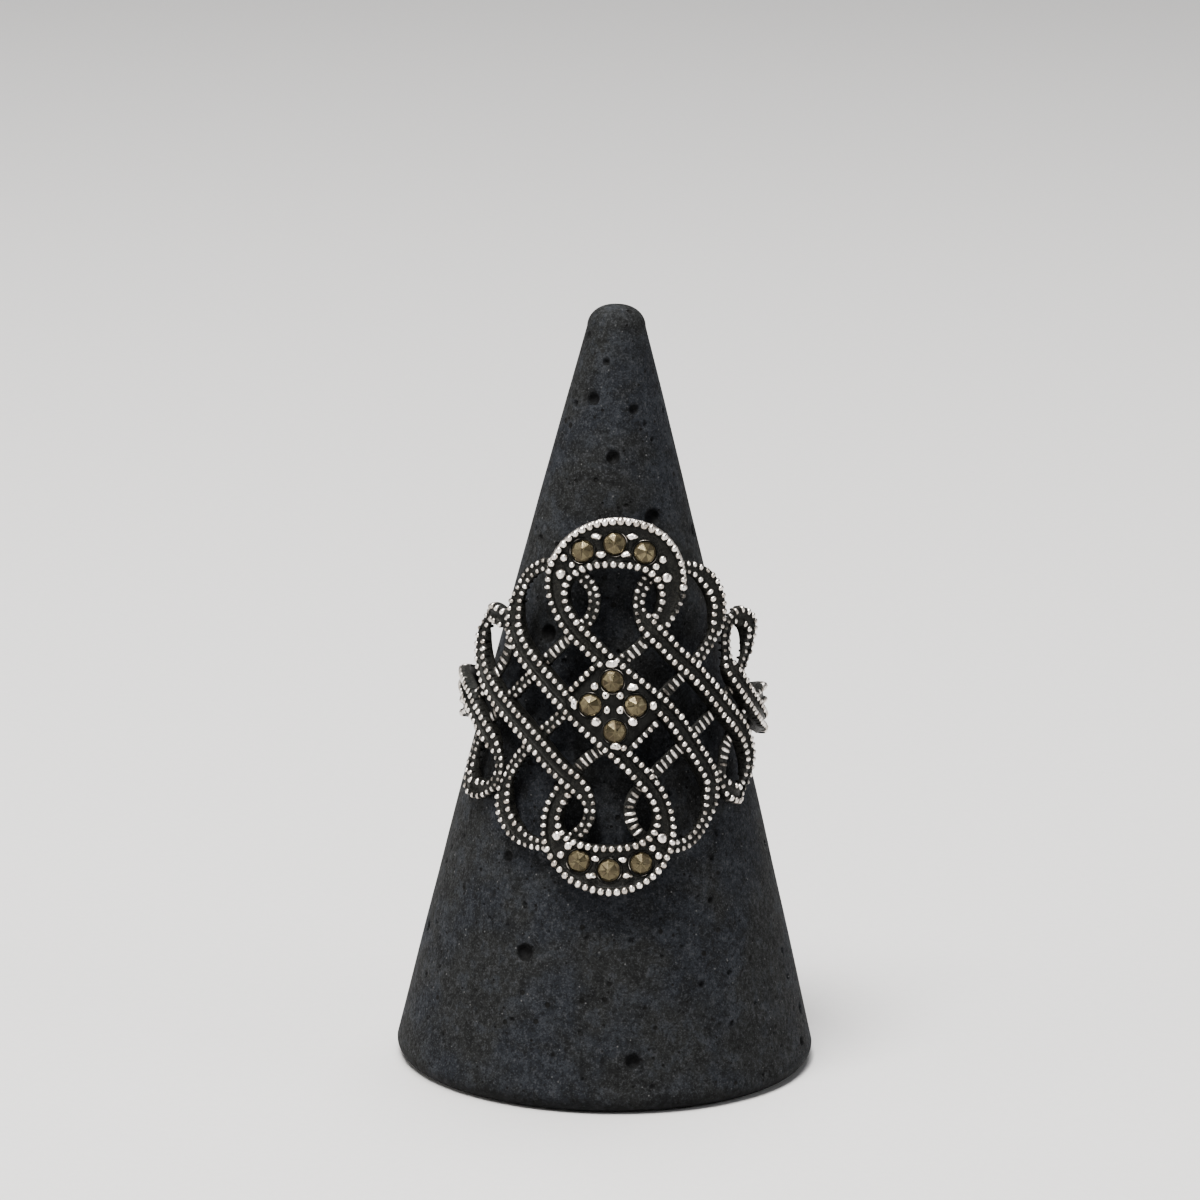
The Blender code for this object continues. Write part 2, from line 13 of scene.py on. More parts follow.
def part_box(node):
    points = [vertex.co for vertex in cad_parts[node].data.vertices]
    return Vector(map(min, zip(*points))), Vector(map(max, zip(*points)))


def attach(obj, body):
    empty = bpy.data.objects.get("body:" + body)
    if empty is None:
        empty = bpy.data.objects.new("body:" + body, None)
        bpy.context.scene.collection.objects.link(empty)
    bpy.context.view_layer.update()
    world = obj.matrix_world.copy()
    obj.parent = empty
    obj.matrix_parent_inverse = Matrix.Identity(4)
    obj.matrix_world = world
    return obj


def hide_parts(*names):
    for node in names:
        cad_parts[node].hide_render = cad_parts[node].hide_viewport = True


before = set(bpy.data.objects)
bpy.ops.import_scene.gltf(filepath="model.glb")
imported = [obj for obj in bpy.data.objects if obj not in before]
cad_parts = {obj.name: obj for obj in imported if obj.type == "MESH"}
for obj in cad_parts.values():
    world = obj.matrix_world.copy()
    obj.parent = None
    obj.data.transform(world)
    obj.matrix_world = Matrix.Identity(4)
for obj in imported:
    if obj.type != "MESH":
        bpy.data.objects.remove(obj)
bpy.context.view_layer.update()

# Display cone
# A plain cone cast in dark stone powder and resin in a smooth mould. Gas left round open pores in its skin,
# from pinholes to some a millimetre across, and pale mineral grit shows in it as fine specks.
MM = 0.001
cone_low, cone_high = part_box("display_cone")
CONE_HEIGHT = cone_high.z - cone_low.z
CONE_RADIUS = (cone_high.x - cone_low.x) / 2
CONE_TIP_RADIUS = 1.95 * MM
CONE_TIP_FLAT = 0.35 * MM
CONE_BULGE = 0.20 * MM
CONE_FOOT_ROUND = 1.0 * MM
CONE_TIP_ROUND = 1.4 * MM
CONE_SIDES = 250
CONE_ROWS = 190
CONE_ROUND_ROWS = 12
CONE_SAG = 0.05 * MM  # how far the mould's uneven wall stands in
CONE_SAG_SPAN = 5.0 * MM
FOOT_PAINTED_SHADE = 0.72  # how dark the round of the foot is painted, a painted shade where it turns under towards the floor

# Pores that show, by the turn from the front in degrees, the height and the radius in millimetres
Pore = namedtuple("Pore", "turn height radius")
FRONT_PORES = [
    Pore(-1, 41.7, 0.48), Pore(23, 44.7, 0.38), Pore(-28, 45.3, 0.45), Pore(-55, 44.8, 0.26),
    Pore(35, 43.7, 0.20), Pore(-15, 47.7, 0.26), Pore(31, 37.8, 0.58), Pore(-37, 30.2, 0.60),
    Pore(-39, 15.8, 0.40), Pore(-27, 10.0, 0.60), Pore(8, 3.5, 0.53), Pore(31, 8.0, 0.26),
    Pore(42, 8.4, 0.24), Pore(38, 13.2, 0.24),
]
SMALL_PORES = 230
SMALL_PORE_RADII = (0.09, 0.26)
BACK_PORES = 22
BACK_PORE_RADII = (0.30, 0.58)
PORE_DEPTH = 0.85  # as a share of the radius
PORE_STEEPNESS = 0.55
PORE_LIP = 0.05
PORE_LIP_AT = 1.08
PORE_LIP_WIDTH = 0.2
PORE_CUTS = 3
PORE_CUT_REACH = 1.35  # faces are cut finer this many radii and PORE_CUT_EDGE round a pore
PORE_CUT_EDGE = 0.15 * MM


def smooth(share):
    """Rises smoothly from 0 to 1 as share does."""
    share = min(1.0, max(0.0, share))
    return share * share * (3 - 2 * share)


def mix(low, high, share):
    return low + (high - low) * share


def circle(radius, height, sides):
    angles = [2 * pi * side / sides for side in range(sides)]
    return [(radius * cos(angle), radius * sin(angle), height) for angle in angles]


def skin(rings):
    """Corners and faces of a skin over rings of corners. A ring of one corner is a tip."""
    corners = [corner for ring in rings for corner in ring]
    faces = []
    start = 0
    for low, high in zip(rings, rings[1:]):
        next_start = start + len(low)
        sides = max(len(low), len(high))
        for side in range(sides):
            after = (side + 1) % sides
            lows = [start + side, start + after] if len(low) > 1 else [start]
            highs = [next_start + after, next_start + side] if len(high) > 1 else [next_start]
            faces.append(lows + highs)
        start = next_start
    return corners, faces


def taken(mesh):
    """Corners and faces of a mesh, which is then let go."""
    mesh.verts.index_update()
    corners = [corner.co.copy() for corner in mesh.verts]
    faces = [[corner.index for corner in face.verts] for face in mesh.faces]
    mesh.free()
    return corners, faces


def make_object(name, corners, faces, finish, shade_flat=False, **marks):
    """An object in the scene. marks are values for its corners, by name: one for each, or one for all."""
    data = bpy.data.meshes.new(name)
    data.from_pydata([tuple(corner) for corner in corners], [], [tuple(face) for face in faces])
    for mark, values in marks.items():
        values = np.full(len(corners), values, np.float32)
        data.attributes.new(mark, "FLOAT", "POINT").data.foreach_set("value", values)
    mesh = bmesh.new()
    mesh.from_mesh(data)
    bmesh.ops.recalc_face_normals(mesh, faces=mesh.faces)
    mesh.to_mesh(data)
    mesh.free()
    data.materials.append(finish)
    if not shade_flat:
        data.shade_smooth()
    made = bpy.data.objects.new(name, data)
    bpy.context.scene.collection.objects.link(made)
    return made


def add_piece(*parts, **given):
    """A piece that rides with the cone and the ring, made as make_object says."""
    piece = make_object(*parts, **given)
    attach(piece, "root")
    return piece


def cone_radius(height):
    """The side of the cone, a line with a slight swell, between the rounded foot and the rounded tip."""
    low = CONE_FOOT_ROUND
    high = CONE_HEIGHT - CONE_TIP_ROUND
    share = min(1.0, max(0.0, (height - low) / (high - low)))
    return mix(CONE_RADIUS, CONE_TIP_RADIUS, share) + 4 * CONE_BULGE * share * (1 - share)


def cone_profile():
    """Radius and height from the middle of the base, round the foot and up to the tip."""
    base = CONE_RADIUS - CONE_FOOT_ROUND
    profile = [(base * share, 0.0) for share in (0.35, 0.7, 0.9)]
    for step in range(CONE_ROUND_ROWS):
        angle = pi / 2 * step / CONE_ROUND_ROWS
        profile.append((base + CONE_FOOT_ROUND * sin(angle), CONE_FOOT_ROUND * (1 - cos(angle))))
    for step in range(CONE_ROWS + 1):
        height = mix(CONE_FOOT_ROUND, CONE_HEIGHT - CONE_TIP_ROUND, step / CONE_ROWS)
        profile.append((cone_radius(height), height))
    for step in range(1, CONE_ROUND_ROWS + 1):
        angle = pi / 2 * step / CONE_ROUND_ROWS
        height = CONE_HEIGHT - CONE_TIP_ROUND * (1 - sin(angle))
        profile.append((mix(CONE_TIP_FLAT, CONE_TIP_RADIUS, cos(angle)), height))
    return profile


def all_pores():
    """The pores that show in front, and those that chance left all round, which are larger at the back."""
    chance = random.Random(11)
    pores = list(FRONT_PORES)
    for count, radii, middle, span in (
        (SMALL_PORES, SMALL_PORE_RADII, 0, 180),
        (BACK_PORES, BACK_PORE_RADII, 180, 120),
    ):
        for _ in range(count):
            height = CONE_HEIGHT / MM * (1 - sqrt(chance.uniform(0.005, 0.95)))
            turn = middle + chance.uniform(-span, span)
            pores.append(Pore(turn, height, mix(*radii, chance.random() ** 2)))
    return pores


def cast_cone():
    """The cone with its pores sunk in, and how deep each of its corners lies in one."""
    mesh = bmesh.new()
    rings = [[(0.0, 0.0, 0.0)]]
    rings += [circle(radius, height, CONE_SIDES) for radius, height in cone_profile()]
    rings += [[(0.0, 0.0, CONE_HEIGHT)]]
    corners, faces = skin(rings)
    made = [mesh.verts.new(corner) for corner in corners]
    for face in faces:
        mesh.faces.new([made[index] for index in face])
    bmesh.ops.recalc_face_normals(mesh, faces=mesh.faces)

    places = []
    for pore in all_pores():
        height = pore.height * MM
        radius = cone_radius(height)
        turn = radians(pore.turn)
        places.append((radius * sin(turn), -radius * cos(turn), height, pore.radius * MM))
    places = np.array(places)
    middles = np.array([face.calc_center_median() for face in mesh.faces])
    near = np.zeros(len(middles), bool)
    for *middle, radius in places:
        near |= np.linalg.norm(middles - middle, axis=1) < PORE_CUT_REACH * radius + PORE_CUT_EDGE
    mesh.faces.ensure_lookup_table()
    edges = {edge for index in np.flatnonzero(near) for edge in mesh.faces[int(index)].edges}
    bmesh.ops.subdivide_edges(mesh, edges=list(edges), cuts=PORE_CUTS, use_grid_fill=True)

    mesh.verts.ensure_lookup_table()
    spots = np.array([corner.co for corner in mesh.verts])
    sunk = np.zeros(len(spots))
    for *middle, radius in places:
        apart = np.linalg.norm(spots - middle, axis=1) / radius
        bowl = np.clip(1 - apart**2, 0, 1) ** PORE_STEEPNESS * PORE_DEPTH * radius
        lip = PORE_LIP * radius * np.clip(1 - np.abs(apart - PORE_LIP_AT) / PORE_LIP_WIDTH, 0, 1)
        sunk = np.maximum(sunk, bowl + lip)
    for corner, depth in zip(mesh.verts, sunk):
        place = corner.co
        if place.z < CONE_FOOT_ROUND / 4:
            continue
        sag = CONE_SAG * (0.5 + 0.5 * noise.noise(place / CONE_SAG_SPAN))
        flank = Vector((place.x, place.y, 0)).normalized()
        flank.z = CONE_RADIUS / CONE_HEIGHT
        corner.co = place - flank.normalized() * (depth + sag * smooth(place.z / CONE_FOOT_ROUND))
    pits = sunk / (PORE_DEPTH * max(BACK_PORE_RADII) * MM)
    return *taken(mesh), np.clip(pits, 0, 1)


def plug(tree, value, socket):
    """Links a socket to the one that value is, or sets it to value. A colour gets its alpha."""
    if isinstance(value, bpy.types.NodeSocket):
        tree.links.new(value, socket)
    else:
        socket.default_value = (*value, 1.0) if isinstance(value, tuple) else value


def add_node(tree, kind, **values):
    """A shader node. values are its inputs, by name with _ for a space, or its properties."""
    node = tree.nodes.new(kind)
    for name, value in values.items():
        socket = node.inputs.get(name.replace("_", " "))
        if socket is None:
            setattr(node, name, value)
        else:
            plug(tree, value, socket)
    return node


def place_of(tree):
    """Places on the piece, in metres."""
    return add_node(tree, "ShaderNodeTexCoord").outputs["Object"]


def mark_of(tree, mark):
    """The value that the corners or the faces carry under this name."""
    return add_node(tree, "ShaderNodeAttribute", attribute_name=mark).outputs["Fac"]


def cloud(tree, place, span, detail=3.0, roughness=0.55):
    """Noise from 0 to 1 whose patches are about span across."""
    grain = {"Vector": place, "Scale": 1 / span, "Detail": detail, "Roughness": roughness}
    return add_node(tree, "ShaderNodeTexNoise", **grain).outputs["Fac"]


def reckon(tree, operation, *values):
    """A Math node on values and sockets."""
    node = add_node(tree, "ShaderNodeMath", operation=operation)
    for socket, value in zip(node.inputs, values):
        plug(tree, value, socket)
    return node.outputs[0]


def weighed(tree, *terms, start=0.0):
    """start and the sum of values times their weights."""
    for value, weight in terms:
        start = reckon(tree, "MULTIPLY_ADD", value, weight, start)
    return start


def between(tree, value, low, high, to_low=0.0, to_high=1.0):
    """value from low to high, taken smoothly to to_low and to_high."""
    ends = {"From_Min": low, "From_Max": high, "To_Min": to_low, "To_Max": to_high}
    node = add_node(tree, "ShaderNodeMapRange", interpolation_type="SMOOTHSTEP", Value=value, **ends)
    return node.outputs["Result"]


def blend(tree, share, first, second):
    """A colour between two colours."""
    node = add_node(tree, "ShaderNodeMix", data_type="RGBA")
    for index, value in ((0, share), (6, first), (7, second)):
        plug(tree, value, node.inputs[index])
    return node.outputs[2]


def layered(tree, colour, *layers):
    """A colour under layers, each a value, from and to where it covers, its greatest share and its colour."""
    for value, low, high, most, over in layers:
        colour = blend(tree, between(tree, value, low, high, 0.0, most), colour, over)
    return colour


def spots_in(tree, place, span, near, far, channel, low, high):
    """Round spots, one to a cell about span across, in those cells where a chance value is high."""
    cells = add_node(tree, "ShaderNodeTexVoronoi", Vector=place, Scale=1 / span).outputs
    kind = add_node(tree, "ShaderNodeSeparateColor", Color=cells["Color"]).outputs[channel]
    spot = between(tree, cells["Distance"], near, far, 1.0, 0.0)
    return reckon(tree, "MULTIPLY", spot, between(tree, kind, low, high))


def new_finish(name):
    """A material, its node tree and its shader."""
    finish = bpy.data.materials.new(name)
    finish.use_nodes = True
    return finish, finish.node_tree, finish.node_tree.nodes["Principled BSDF"]


def relief(tree, shader, height, depth):
    """Raises the surface by height, from 0 to 1, times depth in metres."""
    bump = add_node(tree, "ShaderNodeBump", Height=height, Distance=depth)
    plug(tree, bump.outputs["Normal"], shader.inputs["Normal"])


def cast_stone():
    """Charcoal powder with a bluish cast in places and pale grit, with painted shade: near black in fine
    pinholes and pits, in the pores and on the round of the foot.
    """
    finish, tree, shader = new_finish("charcoal_cast_stone")
    place = place_of(tree)
    patches = cloud(tree, place, 6.0 * MM, 3.0)
    mottle = cloud(tree, place, 1.3 * MM, 4.0, 0.65)
    powder = cloud(tree, place, 0.33 * MM, 4.0, 0.75)
    dust = cloud(tree, place, 0.12 * MM, 2.0, 0.6)
    grit = spots_in(tree, place, 0.42 * MM, 0.10, 0.17, "Red", 0.70, 1.0)
    pinhole = spots_in(tree, place, 0.75 * MM, 0.09, 0.16, "Green", 0.35, 0.6)
    pitted = spots_in(tree, place, 1.5 * MM, 0.09, 0.15, "Blue", 0.30, 0.55)
    # Near black: the stone's own dark specks, and painted shade in the pinholes, pits and pores and on the
    # round of the foot.
    dark_speck_and_shade = (0.004, 0.004, 0.004)
    body = blend(tree, between(tree, patches, 0.42, 0.58), (0.0148, 0.0172, 0.0222), (0.0166, 0.0174, 0.0172))
    body = layered(
        tree, body,
        (mottle, 0.49, 0.37, 0.66, (0.0052, 0.0056, 0.0058)),
        (mottle, 0.50, 0.64, 0.58, (0.033, 0.037, 0.044)),
        (powder, 0.47, 0.36, 0.70, (0.0050, 0.0052, 0.0058)),
        (powder, 0.53, 0.66, 0.60, (0.048, 0.050, 0.055)),
        (dust, 0.54, 0.70, 0.50, (0.070, 0.072, 0.076)),
        (dust, 0.46, 0.34, 0.60, dark_speck_and_shade),
    )
    # The grit is the stone's own pale colour. The pinholes and pits are painted shade, coloured near black
    # because they are only bumps.
    for share, colour in (
        (weighed(tree, (grit, 0.8)), (0.14, 0.14, 0.14)),
        (pinhole, dark_speck_and_shade),
        (weighed(tree, (pitted, 0.92)), (0.0035, 0.0035, 0.003)),
    ):
        body = blend(tree, share, body, colour)
    # Painted shade inside the pores: the deeper a corner lies in one, the nearer its colour goes to black.
    body = layered(tree, body, (mark_of(tree, "pore"), 0.04, 0.5, 0.75, dark_speck_and_shade))
    # Painted shade: the round of the foot is darkened towards the floor, where it turns under. The mottle
    # only makes the band's edge uneven.
    height_up = add_node(tree, "ShaderNodeSeparateXYZ", Vector=place).outputs["Z"]
    foot_shade_height = weighed(tree, (mottle, 1.0 * MM), start=height_up)
    body = blend(tree, between(tree, foot_shade_height, 0.9 * MM, 1.9 * MM, FOOT_PAINTED_SHADE, 0.0), body, dark_speck_and_shade)
    plug(tree, body, shader.inputs["Base Color"])
    plug(tree, between(tree, powder, 0.3, 0.7, 0.92, 0.70), shader.inputs["Roughness"])
    shader.inputs["Specular IOR Level"].default_value = 0.25
    height = weighed(tree, (powder, 0.6), (dust, 0.4), (pinhole, -1.4), (pitted, -2.0))
    relief(tree, shader, height, 0.05 * MM)
    return finish


# How deep each corner lies in a pore is kept as the mark pore, which the finish turns into painted shade.
cone_corners, cone_faces, cone_pits = cast_cone()
stone_cone = add_piece("cast_cone", cone_corners, cone_faces, cast_stone(), pore=cone_pits)
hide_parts("display_cone")


# Strands
# Two channel-section ribbons of the one silver casting, mirror images of each other, that weave over and
# under round the finger's front. The channels are blackened with liver of sulphur and only the high edges are
# rubbed clear.
BORE_RADIUS = 9.50 * MM
WALL = 0.70 * MM  # from the bore to the top of a rim where no strand crosses
PANEL_HALF_WIDTH = 12.0 * MM
PANEL_HALF_HEIGHT = 12.0 * MM
ROW_SPACING = 0.90 * MM  # from one rim's middle to the other's
LOW_SPACING = 0.58 * MM  # the same where a strand runs low, under the others
RIM_WIDTH = 0.36 * MM
FLOOR_SHARE = 0.60  # height of the channel's floor in that of the rim
WEAVE_RISE = 0.30 * MM
ARCH_LIFT = 0.32 * MM
UNDERCUT = 0.08 * MM
CRESCENT_SPACING = 2.80 * MM
TOP_CRESCENT_LENGTH = 14.8 * MM
BOTTOM_CRESCENT_LENGTH = 12.4 * MM
CRESCENT_FALL = 1.6
PLATE_HALF = 2.66 * MM
PLATE_STEP = 0.08 * MM
LAYOUT_RADIUS = BORE_RADIUS + WALL + WEAVE_RISE  # the flat pattern keeps its lengths here
HALF_TURN = 180.0
BEAD_STAND = 0.15 * MM  # how far the beads stand over the ridge that carries them
LONGEST_STEP = 0.20 * MM
WIDEST_TURN = radians(6)

# Half of strand one, from its end at the band on the left to the middle of the top arch: places as shares of
# the panel's half width and half height, headings in degrees, and lift as a share of ARCH_LIFT
Station = namedtuple("Station", "across along heading lift")
HALF_STRAND = [
    Station(-1.75, -0.070, 0, 0.0), Station(-1.45, -0.085, 0, 0.0), Station(-0.82, 0.13, 43, 0.0),
    Station(-0.695, 0.36, 90, -1.1), Station(-0.845, 0.485, 180, 0.0), Station(-0.955, 0.36, 270, 0.0),
    Station(-0.80, 0.10, 319, 0.0), Station(-0.27, -0.355, 319, 0.0), Station(-0.115, -0.56, 270, -0.9),
    Station(-0.39, -0.76, 180, -0.9), Station(-0.6375, -0.49, 90, 0.0), Station(-0.50, -0.245, 42, 0.0),
    Station(0.16, 0.355, 42, 0.0), Station(0.318, 0.63, 90, 1.0), Station(0.0, 0.885, 180, 1.0),
]

# How the cast pattern has settled away from an even one, by the place across it: to the right in its upper
# and in its lower half, and up
SETTLE_ACROSS, *SETTLED = zip(
    (-1.75, 0.0, 0.0, 0.030), (-1.45, 0.0, 0.0, 0.030), (-0.90, 0.030, -0.105, 0.0),
    (-0.64, 0.010, -0.055, 0.0), (-0.33, -0.014, -0.028, 0.0), (0.0, 0.0, -0.006, 0.0),
    (0.12, 0.025, -0.010, 0.0), (0.33, 0.003, -0.016, 0.0), (0.64, 0.014, -0.018, 0.0),
    (0.84, 0.004, 0.020, 0.0), (1.45, 0.0, 0.0, -0.040), (1.75, 0.0, 0.0, -0.040),
)
SETTLE_REACH = 0.8

# Places round which it has swelled to one side: how far right and up, and how far away that fades out
Swell = namedtuple("Swell", "across along right up reach")
SWELLS = [
    Swell(0.33, -0.05, 0.028, 0.028, 0.36), Swell(-0.12, -0.30, -0.025, 0.025, 0.25),
    Swell(-0.15, -0.15, -0.005, -0.005, 0.35), Swell(-0.50, -0.15, 0.014, 0.014, 0.35),
    Swell(0.76, 0.35, 0.060, 0.0, 0.18), Swell(0.76, -0.35, 0.060, 0.0, 0.18),
]


def rim_radius(heading, lift):
    """Strands that fall to the right climb over those that rise to the right."""
    weave = WEAVE_RISE * sin(2 * heading) * (1 - min(1.0, abs(lift)))
    return BORE_RADIUS + WALL - weave + lift * ARCH_LIFT


def under_side(top):
    """The under side's radius below a rim at radius top."""
    climb = (top - (BORE_RADIUS + WALL)) / (2 * WEAVE_RISE)
    return BORE_RADIUS + UNDERCUT * min(1.0, max(0.0, 0.5 - climb))


def floor_under(top):
    return mix(under_side(top), top, FLOOR_SHARE)


FLOORS = {
    "arch": floor_under(BORE_RADIUS + WALL + ARCH_LIFT),
    "plate": floor_under(BORE_RADIUS + WALL + WEAVE_RISE) + PLATE_STEP,
}

# Where the ring sits: the top and the bottom stone give its lean, and the top one's flat back its place
STONE_BACK = 0.10 * MM  # how deep a stone's back lies under the floor
TOP_STONE = (-0.008 * PANEL_HALF_WIDTH, 0.880 * PANEL_HALF_HEIGHT)


def middle_of(node):
    low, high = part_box(node)
    return (low + high) / 2


def back_of(node, outward):
    """The middle of a stone's flat back."""
    corners = np.array([corner.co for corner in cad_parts[node].data.vertices])
    depth = corners @ np.array(outward)
    back = corners[depth < depth.min() + 0.01 * MM]
    return Vector((back.min(axis=0) + back.max(axis=0)) / 2)


def on_bore(across, along, radius):
    """A point of the flat pattern at a radius, in the ring's own frame: its axis is Z, its front is -Y."""
    angle = across / LAYOUT_RADIUS
    return Vector((radius * sin(angle), -radius * cos(angle), along))


ring_rise = middle_of("marcasite_top_middle") - middle_of("marcasite_bottom_middle")
RING_TURN = Matrix.Rotation(-atan2(ring_rise.y, ring_rise.z), 3, "X")
top_back = back_of("marcasite_top_middle", RING_TURN @ on_bore(TOP_STONE[0], 0.0, 1.0))
RING_MIDDLE = top_back - RING_TURN @ on_bore(*TOP_STONE, FLOORS["arch"] - STONE_BACK)


def on_ring(across, along, radius):
    return RING_MIDDLE + RING_TURN @ on_bore(across, along, radius)


def on_panel(row):
    """The flat place of a row that gives it in shares of the panel's half width and half height."""
    return row.across * PANEL_HALF_WIDTH, row.along * PANEL_HALF_HEIGHT


def settled(across, along):
    """The settled place of a point of the even pattern."""
    share = across / PANEL_HALF_WIDTH
    upper, lower, rise = (float(np.interp(share, SETTLE_ACROSS, row)) for row in SETTLED)
    right = mix(lower, upper, smooth(0.5 + along / PANEL_HALF_HEIGHT / SETTLE_REACH))
    for swell in SWELLS:
        away = hypot(share - swell.across, along / PANEL_HALF_HEIGHT - swell.along)
        pull = smooth(1 - away / swell.reach)
        right += pull * swell.right
        rise += pull * swell.up
    return across + right * PANEL_HALF_WIDTH, along + rise * PANEL_HALF_HEIGHT


def whole_strand(mirrored):
    """All the stations of a strand: its left half, and that half turned left to right."""
    right = [Station(-row.across, row.along, -row.heading, row.lift) for row in reversed(HALF_STRAND[:-1])]
    stations = HALF_STRAND + right
    if mirrored:
        stations = [Station(row.across, -row.along, -row.heading, row.lift) for row in stations]
    return stations


# A point of a strand's centre line: its place in the flat pattern, heading, rim radius and rim spacing
Point = namedtuple("Point", "across along heading top spacing")


def bezier(start, end):
    """Points from one station towards the next, on a curve that leaves and reaches them at their headings."""
    place_0, place_3 = (Vector(on_panel(row)) for row in (start, end))
    leave, reach = (Vector((cos(radians(row.heading)), sin(radians(row.heading)))) for row in (start, end))
    turn = radians((end.heading - start.heading + HALF_TURN) % (2 * HALF_TURN) - HALF_TURN)
    chord = (place_3 - place_0).length
    handle = chord / (3 * cos(turn / 4) ** 2)
    place_1 = place_0 + handle * leave
    place_2 = place_3 - handle * reach
    count = max(ceil(chord / LONGEST_STEP), ceil(abs(turn) / WIDEST_TURN))
    for step in range(count):
        share = step / count
        rest = 1 - share
        place = rest**3 * place_0 + 3 * rest**2 * share * place_1
        place += 3 * rest * share**2 * place_2 + share**3 * place_3
        yield place, mix(start.lift, end.lift, smooth(share))


def narrowed(top):
    """The rims' spacing, which narrows where a strand runs low."""
    return mix(ROW_SPACING, LOW_SPACING, smooth((BORE_RADIUS + WALL - top) / WEAVE_RISE))


def centre_line(mirrored):
    """The points of a strand from its left end to its right end."""
    stations = whole_strand(mirrored)
    steps = [step for start, end in zip(stations, stations[1:]) for step in bezier(start, end)]
    steps.append((on_panel(stations[-1]), stations[-1].lift))
    places = [settled(*place) for place, _ in steps]
    lengths = [0.0]
    for before, after in zip(places, places[1:]):
        lengths.append(lengths[-1] + dist(before, after))
    crescent_length = BOTTOM_CRESCENT_LENGTH if mirrored else TOP_CRESCENT_LENGTH
    line = []
    for index, (across, along) in enumerate(places):
        before = places[max(0, index - 1)]
        after = places[min(len(places) - 1, index + 1)]
        heading = atan2(after[1] - before[1], after[0] - before[0])
        from_crest = abs(lengths[index] - lengths[-1] / 2) / (crescent_length / 2)
        widening = cos(pi / 2 * min(1.0, from_crest)) ** CRESCENT_FALL
        top = rim_radius(heading, steps[index][1])
        line.append(Point(across, along, heading, top, mix(narrowed(top), CRESCENT_SPACING, widening)))
    return line


def beside(point, offset):
    """The flat place at an offset to the left of a point of a centre line."""
    return point.across - offset * sin(point.heading), point.along + offset * cos(point.heading)


def rim_top(point, offset):
    """The rim's radius, sunk below the plate's floor where the rim would run across the plate."""
    across, along = beside(point, offset)
    inside = PLATE_HALF * sqrt(2) - abs(across) - abs(along)
    sunk = FLOORS["plate"] - PLATE_STEP
    return mix(point.top, min(point.top, sunk), smooth(inside / ROW_SPACING - 0.5))


# A rim's rounded wall outside and inside the channel, from the ridge down. aside is a share of RIM_WIDTH from
# the ridge, down a share of the way to the foot or floor, and wear says how far the black is rubbed off.
Step = namedtuple("Step", "aside down wear")
OUTER_WALL = [
    Step(0.20, 0.015, 0.24), Step(0.40, 0.07, 0.28), Step(0.52, 0.18, 0.26), Step(0.58, 0.45, 0.20),
    Step(0.66, 0.80, 0.14), Step(0.66, 0.95, 0.10), Step(0.56, 1.00, 0.05),
]
INNER_WALL = [
    Step(0.20, 0.03, 0.20), Step(0.40, 0.12, 0.15), Step(0.52, 0.32, 0.08), Step(0.60, 0.62, 0.03),
    Step(0.70, 0.90, 0.0), Step(0.90, 1.00, 0.0),
]
RIDGE_WEAR = 0.22
ARCH_POLISH_AND_HIGHLIGHT = 0.95  # wear at the top of the wall round the outside of the top arch: partly rubbing, partly a painted highlight along that lit edge
ARCH_SWELL = 0.60  # how much further that wall stands out
# The share of that which the bottom arch's outer rim gets, kept low as painted shade because it faces down
BOTTOM_ARCH_SHADE_SHARE = 0.3
CHANNEL_DISH = 0.02 * MM
EVEN_TONE = 0.5  # the tone of all but the beads, the grains and the plate


def rim_share(spacing):
    """How thick a rim is beside its full width: thinner where its strand narrows."""
    return min(1.0, spacing / ROW_SPACING)


def crest_share(spacing):
    """0 along a strand and 1 over most of an arch."""
    return smooth(1.8 * (spacing - ROW_SPACING) / (CRESCENT_SPACING - ROW_SPACING))


def outside_share(side, heading, along, spacing):
    """How far a rim is the outer one of an arch. The bottom arch's counts for less: its rim faces down, so
    less of it is rubbed clear, as painted shade, and its beads are lengthened less.
    """
    if side * along * cos(heading) < 0:
        return 0.0
    return crest_share(spacing) * (1.0 if along > 0 else BOTTOM_ARCH_SHADE_SHARE)


def strand_section(point):
    """Corners of a strand's section as offset, radius and wear, round the channel from its left foot."""
    half = point.spacing / 2
    rim = RIM_WIDTH * rim_share(point.spacing)
    foot = under_side(point.top)
    floor = floor_under(point.top)
    sides = {}
    for side in (1, -1):
        ridge = rim_top(point, side * half) - BEAD_STAND
        base = min(floor, ridge)
        arch_outer_share = outside_share(side, point.heading, point.along, point.spacing)
        outer = []
        for row in OUTER_WALL:
            aside = row.aside * (1 + ARCH_SWELL * arch_outer_share * (1 - row.down))
            # Painted light: the top arch's outer wall is cleared as a lit edge, and the bottom arch's much
            # less, as painted shade.
            wear = mix(row.wear, ARCH_POLISH_AND_HIGHLIGHT * (1 - row.down), smooth(2 * arch_outer_share - 1))
            outer.append((side * (half + aside * rim), mix(ridge, foot, row.down), wear))
        inner = [
            (side * (half - row.aside * rim), mix(ridge, base, row.down), row.wear) for row in INNER_WALL
        ]
        sides[side] = [*reversed(outer), (side * half, ridge, RIDGE_WEAR), *inner]
    low_floor = min(floor, sides[1][-1][1], sides[-1][-1][1]) - CHANNEL_DISH
    dish = [(sides[side][-1][0] / 3, low_floor, 0.0) for side in (1, -1)]
    return [*sides[1], *dish, *reversed(sides[-1])]


def swept(line, section):
    """Corners, faces and wear of a section run along a line, closed at both ends."""
    rings = []
    wear = []
    for point in line:
        outline = section(point)
        rings.append([on_ring(*beside(point, offset), radius) for offset, radius, _ in outline])
        wear += [corner[2] for corner in outline]
    corners, faces = skin(rings)
    sides = len(rings[0])
    return corners, [*faces, range(sides), range(len(corners) - sides, len(corners))], wear


